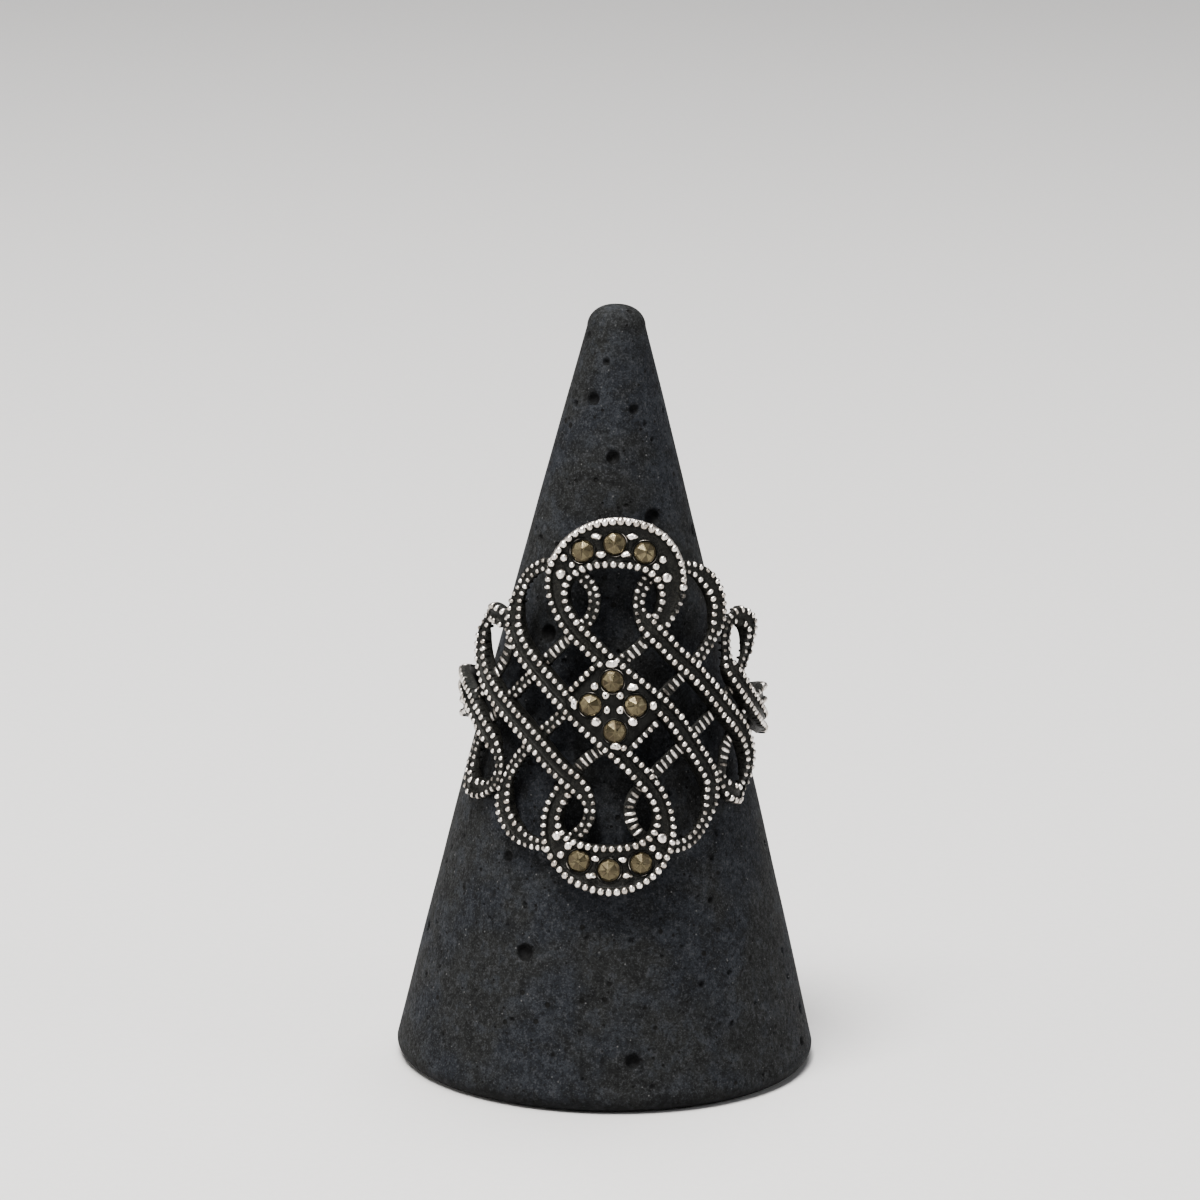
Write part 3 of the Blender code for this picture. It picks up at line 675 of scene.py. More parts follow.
def tarnish_group():
    """Sulphide black on silver, rubbed through where wear is high. Tone moves the line for single beads."""
    tree = bpy.data.node_groups.new("rubbed_sulphide", "ShaderNodeTree")
    for name, value in (("Wear", 0.5), ("Tone", EVEN_TONE), ("Spread", 0.35), ("Smoothness", 0.5)):
        tree.interface.new_socket(name, in_out="INPUT", socket_type="NodeSocketFloat").default_value = value
    kinds = {"Colour": "Color", "Metallic": "Float", "Roughness": "Float", "Height": "Float"}
    for name, kind in kinds.items():
        tree.interface.new_socket(name, in_out="OUTPUT", socket_type="NodeSocket" + kind)
    given = tree.nodes.new("NodeGroupInput").outputs
    place = place_of(tree)
    patches = cloud(tree, place, 0.9 * MM, 3.0)
    mottle = cloud(tree, place, 0.16 * MM, 3.0, 0.6)
    pits = cloud(tree, place, 0.05 * MM, 2.0, 0.6)
    stray = reckon(tree, "SUBTRACT", weighed(tree, (patches, 0.45), (mottle, 0.55)), 0.5)
    off_tone = reckon(tree, "SUBTRACT", given["Tone"], EVEN_TONE)
    rubbed = weighed(tree, (stray, given["Spread"]), (off_tone, 0.22), start=given["Wear"])
    clear = between(tree, rubbed, 0.34, 0.66)
    black = blend(tree, between(tree, patches, 0.38, 0.62), (0.003, 0.003, 0.0025), (0.011, 0.011, 0.010))
    brown = layered(
        tree, black,
        (mottle, 0.46, 0.60, 0.7, (0.027, 0.026, 0.022)),
        (pits, 0.53, 0.64, 0.6, (0.070, 0.070, 0.064)),
    )
    brown = blend(tree, between(tree, given["Tone"], 0.0, 0.4), black, brown)
    sheen = weighed(tree, (mottle, 0.55), (given["Tone"], 0.45))
    silver = blend(tree, between(tree, sheen, 0.25, 0.72), (0.48, 0.435, 0.39), (0.88, 0.835, 0.79))
    bright = weighed(tree, (given["Smoothness"], -0.30), (mottle, 0.10), start=0.42)
    dull = weighed(tree, (mottle, 0.30), start=0.30)
    rough = weighed(tree, (dull, reckon(tree, "SUBTRACT", 1.0, clear)), (bright, clear))
    output = tree.nodes.new("NodeGroupOutput").inputs
    plug(tree, blend(tree, clear, brown, silver), output["Colour"])
    plug(tree, between(tree, clear, 0.0, 1.0, 0.15, 1.0), output["Metallic"])
    plug(tree, rough, output["Roughness"])
    plug(tree, weighed(tree, (mottle, 0.65), (pits, 0.35)), output["Height"])
    return tree


RUBBED_SULPHIDE = tarnish_group()


def silver_finish(name, spread, smoothness, depth):
    """Silver under sulphide black. Its corners carry wear and tone."""
    finish, tree, shader = new_finish(name)
    marks = {"Wear": mark_of(tree, "wear"), "Tone": mark_of(tree, "tone")}
    group = add_node(tree, "ShaderNodeGroup", node_tree=RUBBED_SULPHIDE, Spread=spread, **marks)
    plug(tree, smoothness, group.inputs["Smoothness"])
    for output, socket in (("Colour", "Base Color"), ("Metallic", "Metallic"), ("Roughness", "Roughness")):
        plug(tree, group.outputs[output], shader.inputs[socket])
    shader.inputs["Specular IOR Level"].default_value = 0.24
    relief(tree, shader, group.outputs["Height"], depth)
    return finish


channel_silver = silver_finish("blackened_channel", 0.30, 0.5, 0.050 * MM)
strand_lines = [centre_line(False), centre_line(True)]
for strand_name, line in zip(("strand_one", "strand_two"), strand_lines):
    corners, faces, wear = swept(line, strand_section)
    strand = add_piece(strand_name, corners, faces, channel_silver, wear=wear, tone=EVEN_TONE)
    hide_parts("openwork_ring")


# Milgrain
# The fine beads along every rim. They were raised with a knurled wheel in the wax, so each runs down the
# outside of the wall as a short rib. Their tops are rubbed bright, and the gaps between them stay black.
BEAD_PITCH = 0.525 * MM
BEAD_SINK = 0.160 * MM  # from the rim's top down to a bead's middle
BEAD_SIDES = 12
BEAD_SHIFT = 0.016 * MM
BEAD_SPREAD = 0.07
PITCH_SPREAD = 0.025
HEADING_SPREAD = 0.05
CRESCENT_LENGTHEN = 0.20  # how much longer a bead is round the outside of an arch
STRAND_BEAD_SIZE = 0.92
ARCH_BEAD_SIZE = 1.06
NARROW_SHIFT = 0.16 * MM  # how far in they stand where a strand narrows
NARROW_OUT, NARROW_ALONG, NARROW_UP = 0.60, 0.85, 0.80  # their size there beside their full size
LEAST_RUB = 0.88
LOW_RUB = 0.62  # how far a bead is rubbed where its strand runs low, beside one on a high strand
INWARD_RUB = 0.40  # how far the ribs that face the panel's middle are rubbed, beside those that face out

# Where a narrow strand's two rows of beads ran together into bars across it, and where beads stayed dull
Spot = namedtuple("Spot", "across along reach")
BARRED = [
    Spot(0.13, -0.57, 0.15), Spot(-0.14, -0.29, 0.10), Spot(0.34, -0.29, 0.09), Spot(0.36, 0.11, 0.08),
    Spot(0.59, -0.10, 0.09), Spot(0.84, 0.09, 0.09), Spot(0.77, -0.23, 0.12), Spot(1.04, -0.06, 0.08),
    Spot(0.11, 0.34, 0.07), Spot(-0.32, 0.30, 0.09), Spot(-0.76, 0.24, 0.09), Spot(-0.80, -0.07, 0.08),
]
DULLED = [
    Spot(0.33, 0.51, 0.11), Spot(0.16, 0.58, 0.09), Spot(-0.12, 0.54, 0.08), Spot(0.36, 0.11, 0.09),
    Spot(0.11, 0.34, 0.08), Spot(0.34, -0.29, 0.10), Spot(0.14, -0.49, 0.06),
]
DULL_RUB = 0.52
BAR_SHARE = 0.92  # a strand counts as narrow where its rims are thinner than this
SUNK_RIM = 0.05 * MM  # a rim this far below its strand's height carries no beads

# A bead from its tip in the channel, over its crown and down the rib outside: out and up from its middle and
# radius, in millimetres, and wear. A bar runs level across the strand, alike at both ends.
Turn = namedtuple("Turn", "out up radius wear")
BEAD = [
    Turn(-0.165, -0.120, 0.0, 0.10), Turn(-0.150, -0.085, 0.105, 0.24), Turn(-0.105, -0.038, 0.166, 0.66),
    Turn(-0.025, 0.0, 0.190, 1.0), Turn(0.045, -0.022, 0.188, 1.0), Turn(0.100, -0.100, 0.168, 0.86),
    Turn(0.128, -0.230, 0.136, 0.72), Turn(0.148, -0.360, 0.110, 0.56), Turn(0.160, -0.470, 0.080, 0.36),
    Turn(0.166, -0.540, 0.0, 0.20),
]
RIB_TURNS = 5  # how many of these, from the last, make the rib
HALF_BAR = [
    Turn(-0.335, -0.170, 0.0, 0.10), Turn(-0.325, -0.120, 0.080, 0.30), Turn(-0.285, -0.040, 0.130, 0.85),
    Turn(-0.100, -0.010, 0.142, 1.0),
]
BAR = HALF_BAR + [turn._replace(out=-turn.out) for turn in reversed(HALF_BAR)]
BEAD_UNDER_WEAR = 0.05  # on its under side and between it and the next
COVER_EDGE = 0.45  # share of a rim's width past its middle that still covers what lies below


def bead_shape(turns, rib_rub):
    """Corners, faces and wear of a bead in its own frame: X out of the channel, Y along the rim, Z up."""
    rings = []
    wear = []
    for index, turn in enumerate(turns):
        before = turns[max(0, index - 1)]
        after = turns[min(len(turns) - 1, index + 1)]
        going = Vector((after.out - before.out, 0.0, after.up - before.up)).normalized()
        over = Vector((-going.z, 0.0, going.x))
        middle = Vector((turn.out, 0.0, turn.up))
        rub = turn.wear * (rib_rub if index >= len(turns) - RIB_TURNS else 1.0)
        if turn.radius == 0:
            rings.append([middle * MM])
            wear.append(rub)
            continue
        ring = []
        for side in range(BEAD_SIDES):
            angle = 2 * pi * side / BEAD_SIDES
            along = Vector((0.0, turn.radius * cos(angle), 0.0))
            ring.append((middle + along + over * turn.radius * sin(angle)) * MM)
            wear.append(mix(BEAD_UNDER_WEAR, rub, smooth(0.16 + 0.95 * sin(angle))))
        rings.append(ring)
    corners, faces = skin(rings)
    return np.array(corners), np.array([list(face) + [face[-1]] * (4 - len(face)) for face in faces]), wear


RUBBED_BEAD = bead_shape(BEAD, 1.0)
DARK_RIBBED_BEAD = bead_shape(BEAD, INWARD_RUB)
BAR_BEAD = bead_shape(BAR, 1.0)
all_points = [point for line in strand_lines for point in line]
line_places = np.array([(point.across, point.along) for point in all_points])
line_tops = np.array([point.top for point in all_points])
line_reach = np.array([point.spacing / 2 + RIM_WIDTH * COVER_EDGE for point in all_points])
line_starts = np.array([point is line[0] for line in strand_lines for point in line])
line_steps = np.hypot(*np.diff(line_places, axis=0, prepend=line_places[:1]).T)
line_lengths = np.cumsum(np.where(line_starts, 1.0, line_steps))
BAND_START = HALF_STRAND[0].across * PANEL_HALF_WIDTH + 1.20 * MM
BAND_COVER = 0.6 * MM
BURIED = 0.10 * MM
OWN_REACH = 2.5 * MM


def is_covered(across, along, top, own_length):
    """Whether another strand, another part of this one or the band passes over this place of a rim."""
    if abs(across) > abs(BAND_START) - BAND_COVER:
        return True
    apart = np.hypot(line_places[:, 0] - across, line_places[:, 1] - along)
    is_over = (apart < line_reach) & (line_tops > top + BURIED)
    return bool(np.any(is_over & (np.abs(line_lengths - own_length) > OWN_REACH)))


def ring_axes(across, heading, side):
    """Out of the channel, along the rim and up, at a place of the ring."""
    up = RING_TURN @ on_bore(across, 0.0, 1.0)
    axis = RING_TURN @ Vector((0.0, 0.0, 1.0))
    level = axis.cross(up).normalized()
    along = level * cos(heading) + axis * sin(heading)
    left = axis * cos(heading) - level * sin(heading)
    return left * side, along, up


def lay_beads(places, chance):
    """Corners, faces, wear and tone of beads. places has the middle, axes, size, rub and shape of each."""
    corners = []
    faces = []
    wear = []
    tone = []
    laid = 0
    for middle, out, along, up, size, rub, (shape_corners, shape_faces, shape_wear) in places:
        corners.append(shape_corners * size @ np.array([out, along, up]) + np.array(middle))
        faces.append(shape_faces + laid)
        laid += len(shape_corners)
        wear += [value * rub for value in shape_wear]
        tone += [chance.random()] * len(shape_corners)
    trimmed = [list(dict.fromkeys(face)) for face in np.concatenate(faces).tolist()]
    return np.concatenate(corners), trimmed, wear, tone


def uneven_size(chance, scale=1.0):
    return Vector([scale * (1 + chance.gauss(0.0, BEAD_SPREAD)) for _ in range(3)])


def is_near(spots, share):
    """Whether a place of the panel is within reach of one of these spots."""
    return any(dist(share, (spot.across, spot.along)) < spot.reach for spot in spots)


laid_beads = []


def bead_places(line, own_lengths, chance):
    """Beads along both rims. They are finer on a narrow strand and longer round the outside of an arch."""
    for side in (1, -1):
        offsets = [side * point.spacing / 2 for point in line]
        flat = np.array([beside(point, offset) for point, offset in zip(line, offsets)])
        tops = [rim_top(point, offset) for point, offset in zip(line, offsets)]
        headings = np.unwrap([point.heading for point in line])
        lengths = np.concatenate([[0.0], np.cumsum(np.hypot(*np.diff(flat, axis=0).T))])
        fulls, spacings = zip(*[(point.top, point.spacing) for point in line])
        rows = (*flat.T, tops, fulls, headings, spacings, own_lengths)
        place = chance.uniform(0.2, 0.8) * BEAD_PITCH
        while place < lengths[-1]:
            across, along, top, whole, heading, spacing, own_length = (
                float(np.interp(place, lengths, row)) for row in rows
            )
            heading += chance.gauss(0.0, HEADING_SPREAD)
            fine = rim_share(spacing)
            outside = outside_share(side, heading, along, spacing)
            place += BEAD_PITCH * mix(NARROW_ALONG, 1.0, fine) * (1 + chance.gauss(0.0, PITCH_SPREAD))
            size = uneven_size(chance) * mix(STRAND_BEAD_SIZE, ARCH_BEAD_SIZE, crest_share(spacing))
            size.x *= mix(NARROW_OUT, 1.0, fine)
            size.y *= mix(NARROW_ALONG, 1.0, fine) * (1 + CRESCENT_LENGTHEN * outside)
            size.z *= mix(NARROW_UP, 1.0, fine)
            share = Vector((across / PANEL_HALF_WIDTH, along / PANEL_HALF_HEIGHT))
            climb = smooth((whole - BORE_RADIUS - WALL + WEAVE_RISE) / (1.5 * WEAVE_RISE))
            rub = mix(LOW_RUB, 1.0, climb) * chance.uniform(LEAST_RUB, 1.0)
            shift = chance.gauss(0.0, BEAD_SHIFT) - NARROW_SHIFT * (1 - fine)
            if is_near(DULLED, share):
                rub = min(rub, DULL_RUB)
            outward = Vector((-sin(heading), cos(heading))) * side
            shape = RUBBED_BEAD if outward.dot(share) > 0 else DARK_RIBBED_BEAD
            if fine < BAR_SHARE and is_near(BARRED, share):
                if side == -1:
                    continue
                size = uneven_size(chance)
                shift = -spacing / 2
                shape = BAR_BEAD
            if whole - top > SUNK_RIM or is_covered(across, along, top, own_length):
                continue
            out, row, up = ring_axes(across, heading, side)
            laid_beads.append((across, along))
            yield on_ring(across, along, top - BEAD_SINK) + out * shift, out, row, up, size, rub, shape


milgrain_silver = silver_finish("rubbed_milgrain", 0.55, 0.55, 0.012 * MM)
strand_lengths = np.split(line_lengths, [len(strand_lines[0])])
milgrain_names = ("milgrain_one", "milgrain_two")
for milgrain_name, line, lengths, seed in zip(milgrain_names, strand_lines, strand_lengths, (21, 22)):
    chance = random.Random(seed)
    corners, faces, wear, tone = lay_beads(bead_places(line, lengths, chance), chance)
    milgrain = add_piece(milgrain_name, corners, faces, milgrain_silver, wear=wear, tone=tone)


# Centre plate
# A small diamond of the same casting where the strands cross in the middle. Two of its edges have beaded rims
# of their own, and the strands' rims close the other two.
EDGE_RISE = 0.36 * MM
EDGE_LENGTH = 2.90 * MM
EDGE_OUT = 0.10 * MM
EDGE_BEADS = 6
EDGE_BEAD_SIZE = 0.86
EDGE_BEAD_GAP = 0.33 * MM
EDGE_BEAD_RUB = 0.92
PLATE_SIDE_STEPS = 14
PLATE_TONE = 0.12  # a low tone is a dense black
PLATE_CORNER = 0.88  # where the diamond's corners are rounded off, as a share of the half diagonal

# The plate's edge from the under side, over the rounded shoulder and in to the middle: share of the outline
# and radius as a share of the plate's thickness
PLATE_STEPS = [
    (0.0, 0.0), (0.90, 0.0), (0.99, 0.06), (1.0, 0.2), (1.0, 0.80), (0.985, 0.93),
    (0.955, 1.0), (0.80, 0.995), (0.60, 0.99), (0.40, 0.985), (0.20, 0.98), (0.0, 0.98),
]


def plate_outline():
    """The diamond with rounded corners, as places in the flat pattern."""
    corner = PLATE_HALF * sqrt(2)
    outline = []
    for quarter in range(4):
        start = Vector((cos(pi / 2 * quarter), sin(pi / 2 * quarter)))
        end = Vector((-start.y, start.x))
        for step in range(PLATE_SIDE_STEPS):
            spot = start.lerp(end, step / PLATE_SIDE_STEPS) * corner
            outline.append(spot * min(1.0, PLATE_CORNER * corner / max(abs(spot.x), abs(spot.y))))
    return outline


plate_rings = []
for share, rise in PLATE_STEPS:
    radius = mix(BORE_RADIUS + UNDERCUT / 2, FLOORS["plate"], rise)
    outline = plate_outline() if share else [Vector((0.0, 0.0))]
    plate_rings.append([on_ring(spot.x * share, spot.y * share, radius) for spot in outline])
plate = add_piece("centre_plate", *skin(plate_rings), channel_silver, wear=0.0, tone=PLATE_TONE)


def edge_section(point):
    """A plate edge's low rounded rim."""
    foot = BORE_RADIUS + UNDERCUT / 4
    ridge = point.top - BEAD_STAND
    right = [(-row.aside * RIM_WIDTH, mix(ridge, foot, row.down), row.wear) for row in OUTER_WALL]
    left = [(-aside, radius, wear) for aside, radius, wear in reversed(right)]
    return [*left, (0.0, ridge, RIDGE_WEAR), *right]


def edge_line(side):
    """The plate's upper left edge for side 1, its lower right edge for side -1."""
    middle = side * (PLATE_HALF + EDGE_OUT) / sqrt(2)
    half = EDGE_LENGTH / 2 / sqrt(2)
    top = FLOORS["plate"] + EDGE_RISE
    steps = [share * half for share in (-1.0, -0.6, -0.2, 0.2, 0.6, 1.0)]
    return [Point(step - middle, step + middle, radians(45), top, RIM_WIDTH) for step in steps]


chance = random.Random(31)
for edge_name, side in (("plate_edge_upper", 1), ("plate_edge_lower", -1)):
    line = edge_line(side)
    corners, faces, wear = swept(line, edge_section)
    edge = add_piece(edge_name, corners, faces, channel_silver, wear=wear, tone=EVEN_TONE)
    places = []
    for index in range(EDGE_BEADS):
        share = (index + 0.5) / EDGE_BEADS
        across = mix(line[0].across, line[-1].across, share)
        along = mix(line[0].along, line[-1].along, share)
        if min(dist((across, along), laid) for laid in laid_beads) < EDGE_BEAD_GAP:
            continue
        middle = on_ring(across, along, line[0].top - BEAD_SINK)
        axes = ring_axes(across, line[0].heading, side)
        places.append((middle, *axes, uneven_size(chance, EDGE_BEAD_SIZE), EDGE_BEAD_RUB, DARK_RIBBED_BEAD))
    corners, faces, wear, tone = lay_beads(places, chance)
    beads = add_piece(edge_name + "_beads", corners, faces, milgrain_silver, wear=wear, tone=tone)


# Grains and seats
# Small round grains stand between the stones and hold them in: they were raised with a graver and rounded
# with a cupped punch. Each stone sits in a shallow seat with a thin burr of metal round it.
GRAIN_RADIUS = 0.30 * MM
GRAIN_SIDES = 16
GRAIN_LUMPS = 0.10
GRAIN_LONG_LUMPS = 0.50  # added to it, times how far a grain is from round
GRAIN_LUMP_TURNS = 1.1  # how many lumps there are to its radius
GRAIN_TONES = (0.45, 1.0)
STONE_DIAMETER = 1.50 * MM
SEAT_SIDES = 40
BURR_SPAN = 0.6 * MM  # from one swell of a burr to the next
BURR_SWELL = 0.5
BURR_RUB_SWELL = 1.8

Grain = namedtuple("Grain", "across along wide tall floor")
GRAINS = [Grain(*row, floor) for floor, rows in (
    ("arch", (
        (-0.110, 0.920, 1.2, 0.7), (0.090, 0.920, 1.3, 0.7), (-0.295, 0.800, 0.9, 0.9),
        (-0.085, 0.822, 1.2, 0.8), (0.060, 0.825, 1.2, 0.8), (0.265, 0.798, 0.9, 0.9),
        (-0.246, 0.762, 0.7, 0.7), (0.226, 0.759, 0.8, 0.8), (-0.310, 0.712, 1.2, 1.1),
        (0.290, 0.700, 1.2, 1.1),
    )),
    ("plate", (
        (-0.012, 0.232, 1.3, 0.8), (0.104, 0.108, 1.3, 0.9), (0.222, 0.010, 0.9, 1.0),
        (0.108, -0.078, 1.1, 1.1), (0.018, -0.214, 1.3, 0.8), (-0.096, -0.082, 1.2, 1.0),
        (-0.217, 0.013, 0.8, 1.2), (-0.106, 0.110, 0.9, 0.9), (-0.044, 0.062, 0.85, 0.9),
        (0.036, 0.061, 0.85, 0.9), (-0.036, -0.017, 0.8, 0.95), (0.038, -0.018, 0.8, 0.95),
    )),
    ("arch", (
        (-0.308, -0.705, 1.1, 1.1), (-0.283, -0.808, 0.9, 0.9), (-0.088, -0.822, 1.0, 0.7),
        (0.065, -0.825, 1.0, 0.7), (-0.240, -0.757, 0.95, 0.95), (0.230, -0.762, 0.8, 0.8),
        (-0.110, -0.915, 1.2, 0.75), (0.092, -0.913, 1.2, 0.75), (0.286, -0.710, 1.2, 1.1),
        (0.268, -0.805, 0.9, 0.9),
    )),
) for row in rows]

Stone = namedtuple("Stone", "name across along floor")
STONES = [
    Stone("marcasite_top_left", -0.188, 0.838, "arch"),
    Stone("marcasite_top_middle", -0.008, 0.880, "arch"),
    Stone("marcasite_top_right", 0.163, 0.835, "arch"),
    Stone("marcasite_centre_top", -0.008, 0.138, "plate"),
    Stone("marcasite_centre_left", -0.129, 0.008, "plate"),
    Stone("marcasite_centre_right", 0.125, 0.008, "plate"),
    Stone("marcasite_centre_bottom", 0.010, -0.133, "plate"),
    Stone("marcasite_bottom_left", -0.180, -0.838, "arch"),
    Stone("marcasite_bottom_middle", -0.010, -0.885, "arch"),
    Stone("marcasite_bottom_right", 0.170, -0.845, "arch"),
]

# A grain from its foot over its crown: share of its radius, height in GRAIN_RADIUS, wear. The last two rows
# are its top, plain or with the punch's dimple.
GRAIN_ROUND = [
    (1.05, -0.30, 0.0), (0.98, -0.02, 0.05), (0.97, 0.20, 0.25), (1.0, 0.48, 0.62), (0.93, 0.76, 0.92),
    (0.76, 0.98, 1.0), (0.50, 1.14, 1.0),
]
GRAIN_TOP = [(0.24, 1.22, 1.0), (0.0, 1.24, 1.0)]
DIMPLED_TOP = [(0.30, 1.12, 0.55), (0.0, 0.96, 0.05)]
DIMPLED_SIZE = 0.9  # grains of the plate narrower than this have the dimple

# A seat's burr from outside in: share of the stone's radius, height in millimetres, wear
BURR = [
    (1.22, -0.06, 0.0), (1.18, 0.01, 0.05), (1.13, 0.06, 0.18), (1.10, 0.09, 0.34), (1.07, 0.08, 0.26),
    (1.055, 0.03, 0.06), (1.055, -0.12, 0.0),
]


def panel_place(row):
    """A frame on the floor that carries a stone or a grain: X across the finger, Y along it, Z out."""
    across, along = on_panel(row)
    axis, level, up = ring_axes(across, 0.0, 1)
    turn = Matrix((level, axis, up)).transposed().to_4x4()
    return Matrix.Translation(on_ring(across, along, FLOORS[row.floor])) @ turn


def together(parts):
    """Corners and faces of several parts as one mesh."""
    corners = []
    faces = []
    for part_corners, part_faces in parts:
        faces += [[len(corners) + index for index in face] for face in part_faces]
        corners += part_corners
    return corners, faces


def lump_place(chance):
    """A place in the noise, for one piece's own lumps."""
    return Vector([chance.uniform(-9, 9) for _ in range(3)])


chance = random.Random(41)
parts = []
wear = []
tone = []
for grain in GRAINS:
    place = panel_place(grain)
    lumps = lump_place(chance)
    lumpy = GRAIN_LUMPS + GRAIN_LONG_LUMPS * abs(grain.wide - grain.tall)
    grain_tone = chance.uniform(*GRAIN_TONES)
    rings = []
    is_dimpled = grain.floor == "plate" and grain.wide < DIMPLED_SIZE
    for share, rise, worn in GRAIN_ROUND + (DIMPLED_TOP if is_dimpled else GRAIN_TOP):
        rings.append([])
        for x, y, z in circle(share * GRAIN_RADIUS, rise * GRAIN_RADIUS, GRAIN_SIDES if share else 1):
            spot = Vector((x * grain.wide, y * grain.tall, z * min(1.0, (grain.wide + grain.tall) / 2)))
            lump = 1 + lumpy * noise.noise(spot / GRAIN_RADIUS * GRAIN_LUMP_TURNS + lumps)
            rings[-1].append(place @ (spot * lump))
            wear.append(worn)
            tone.append(grain_tone)
    corners, faces = skin(rings)
    parts.append((corners, [*faces, range(GRAIN_SIDES)]))
grains = add_piece("grains", *together(parts), milgrain_silver, wear=wear, tone=tone)

parts = []
wear = []
for stone in STONES:
    place = panel_place(stone)
    lumps = lump_place(chance)
    rings = []
    for share, height, worn in BURR:
        rings.append([])
        for x, y, _ in circle(share * STONE_DIAMETER / 2, 0.0, SEAT_SIDES):
            swell = noise.noise(Vector((x, y, 0.0)) / BURR_SPAN + lumps)
            rings[-1].append(place @ Vector((x, y, height * MM * (1 + BURR_SWELL * swell))))
            wear.append(worn * (1 + BURR_RUB_SWELL * swell))
    corners, faces = skin([*rings, rings[0]])
    count = len(BURR) * SEAT_SIDES
    parts.append((corners[:count], [[index % count for index in face] for face in faces]))
burrs = add_piece("seat_burrs", *together(parts), channel_silver, wear=wear, tone=EVEN_TONE)


# Shank
# The plain band behind the finger, flat inside and rounded outside. Both strands run into it. It is polished,
# and fingers have kept it clear of black apart from where the strands' channels end.
SHANK_WIDTH = 2.20 * MM
SHANK_SPREAD = 0.42 * MM
SHANK_FALL = 3
SHANK_THICKNESS = 1.05 * MM
SHANK_STEPS = 150
SHANK_ROOT = 2.6 * MM  # over which it rises out of the strands
SHANK_ROOT_THICKNESS = 0.50
SHANK_WEAR = (0.25, 0.95)  # at its root and all round

# The band's section from its outer middle round one edge to the inner middle: shares of its half width and
# of its thickness
SHANK_ROUND = [
    (0.0, 1.0), (0.28, 0.985), (0.52, 0.93), (0.72, 0.84), (0.87, 0.70), (0.96, 0.52),
    (1.0, 0.32), (0.98, 0.15), (0.92, 0.04), (0.80, 0.0), (0.40, 0.0), (0.0, 0.0),
]


def shank_line():
    """The middle of the band, from the left round the back to the right."""
    end = -2 * pi * LAYOUT_RADIUS - BAND_START
    rises = SETTLED[-1]
    line = []
    for step in range(SHANK_STEPS + 1):
        share = step / SHANK_STEPS
        width = SHANK_WIDTH + 2 * SHANK_SPREAD * abs(2 * share - 1) ** SHANK_FALL
        along = mix(rises[0], rises[-1], smooth(share)) * PANEL_HALF_HEIGHT
        across = mix(BAND_START, end, share)
        from_end = min(abs(across - BAND_START), abs(across - end))
        thickness = SHANK_THICKNESS * mix(SHANK_ROOT_THICKNESS, 1.0, smooth(from_end / SHANK_ROOT))
        line.append(Point(across, along, pi, BORE_RADIUS + thickness, width))
    return line


def shank_section(point):
    half = point.spacing / 2
    foot = BORE_RADIUS - UNDERCUT / 2
    cleared = (point.top - BORE_RADIUS) / SHANK_THICKNESS
    wear = mix(*SHANK_WEAR, smooth((cleared - SHANK_ROOT_THICKNESS) / (1 - SHANK_ROOT_THICKNESS)))
    right = [(aside * half, mix(foot, point.top, up), wear) for aside, up in SHANK_ROUND]
    left = [(-aside, radius, wear) for aside, radius, _ in reversed(right[1:-1])]
    return right + left


shank_silver = silver_finish("polished_band", 0.45, 0.9, 0.004 * MM)
corners, faces, wear = swept(shank_line(), shank_section)
shank = add_piece("shank", corners, faces, shank_silver, wear=wear, tone=EVEN_TONE)


# Marcasites
# Small rounds of pyrite with a flat back and a domed crown of plane facets that meet at a tiny table. Each
# was cut by hand, so no two lie or shine alike, and the soft metallic mineral has dulled to an olive bronze.
STONE_HEIGHT = 0.56 * MM
FACETS = 8
FACET_SPREAD = 0.018
FACET_RISE = 0.6  # how far a corner that lies further out lies higher too
FACET_TONE = (0.45, 0.25)  # the mean and the spread of how light they are
FLAT_ENOUGH = radians(1.5)
TABLE_SPREAD = 0.035
SMALLEST_STONE = 0.975
STONE_EDGE_WEAR = 0.012 * MM
STONE_LEAN = radians(3.5)

# Rows of a stone's corners: share of its radius, share of its height, corners and turn as a share of a facet
STONE_ROWS = [(0.98, 0.0, 24, 0.0), (1.0, 0.30, 24, 0.0), (0.84, 0.60, FACETS, 0.0), (0.17, 1.0, FACETS, 0.5)]


def marcasite_finish():
    """Pyrite: metallic, olive to pale brass from facet to facet, with a dull bloom and fine dark specks."""
    finish, tree, shader = new_finish("dulled_marcasite")
    place = place_of(tree)
    bloom = cloud(tree, place, 0.35 * MM, 3.0)
    speck = cloud(tree, place, 0.07 * MM, 2.0)
    lightness = between(tree, mark_of(tree, "tone"), 0.0, 1.0)
    facet = layered(
        tree, blend(tree, lightness, (0.052, 0.043, 0.026), (0.205, 0.176, 0.108)),
        (bloom, 0.42, 0.70, 0.6, (0.098, 0.076, 0.050)),
        (speck, 0.62, 0.74, 0.8, (0.030, 0.025, 0.017)),
    )
    plug(tree, facet, shader.inputs["Base Color"])
    shader.inputs["Metallic"].default_value = 0.80
    plug(tree, between(tree, bloom, 0.3, 0.7, 0.24, 0.46), shader.inputs["Roughness"])
    relief(tree, shader, speck, 0.004 * MM)
    return finish


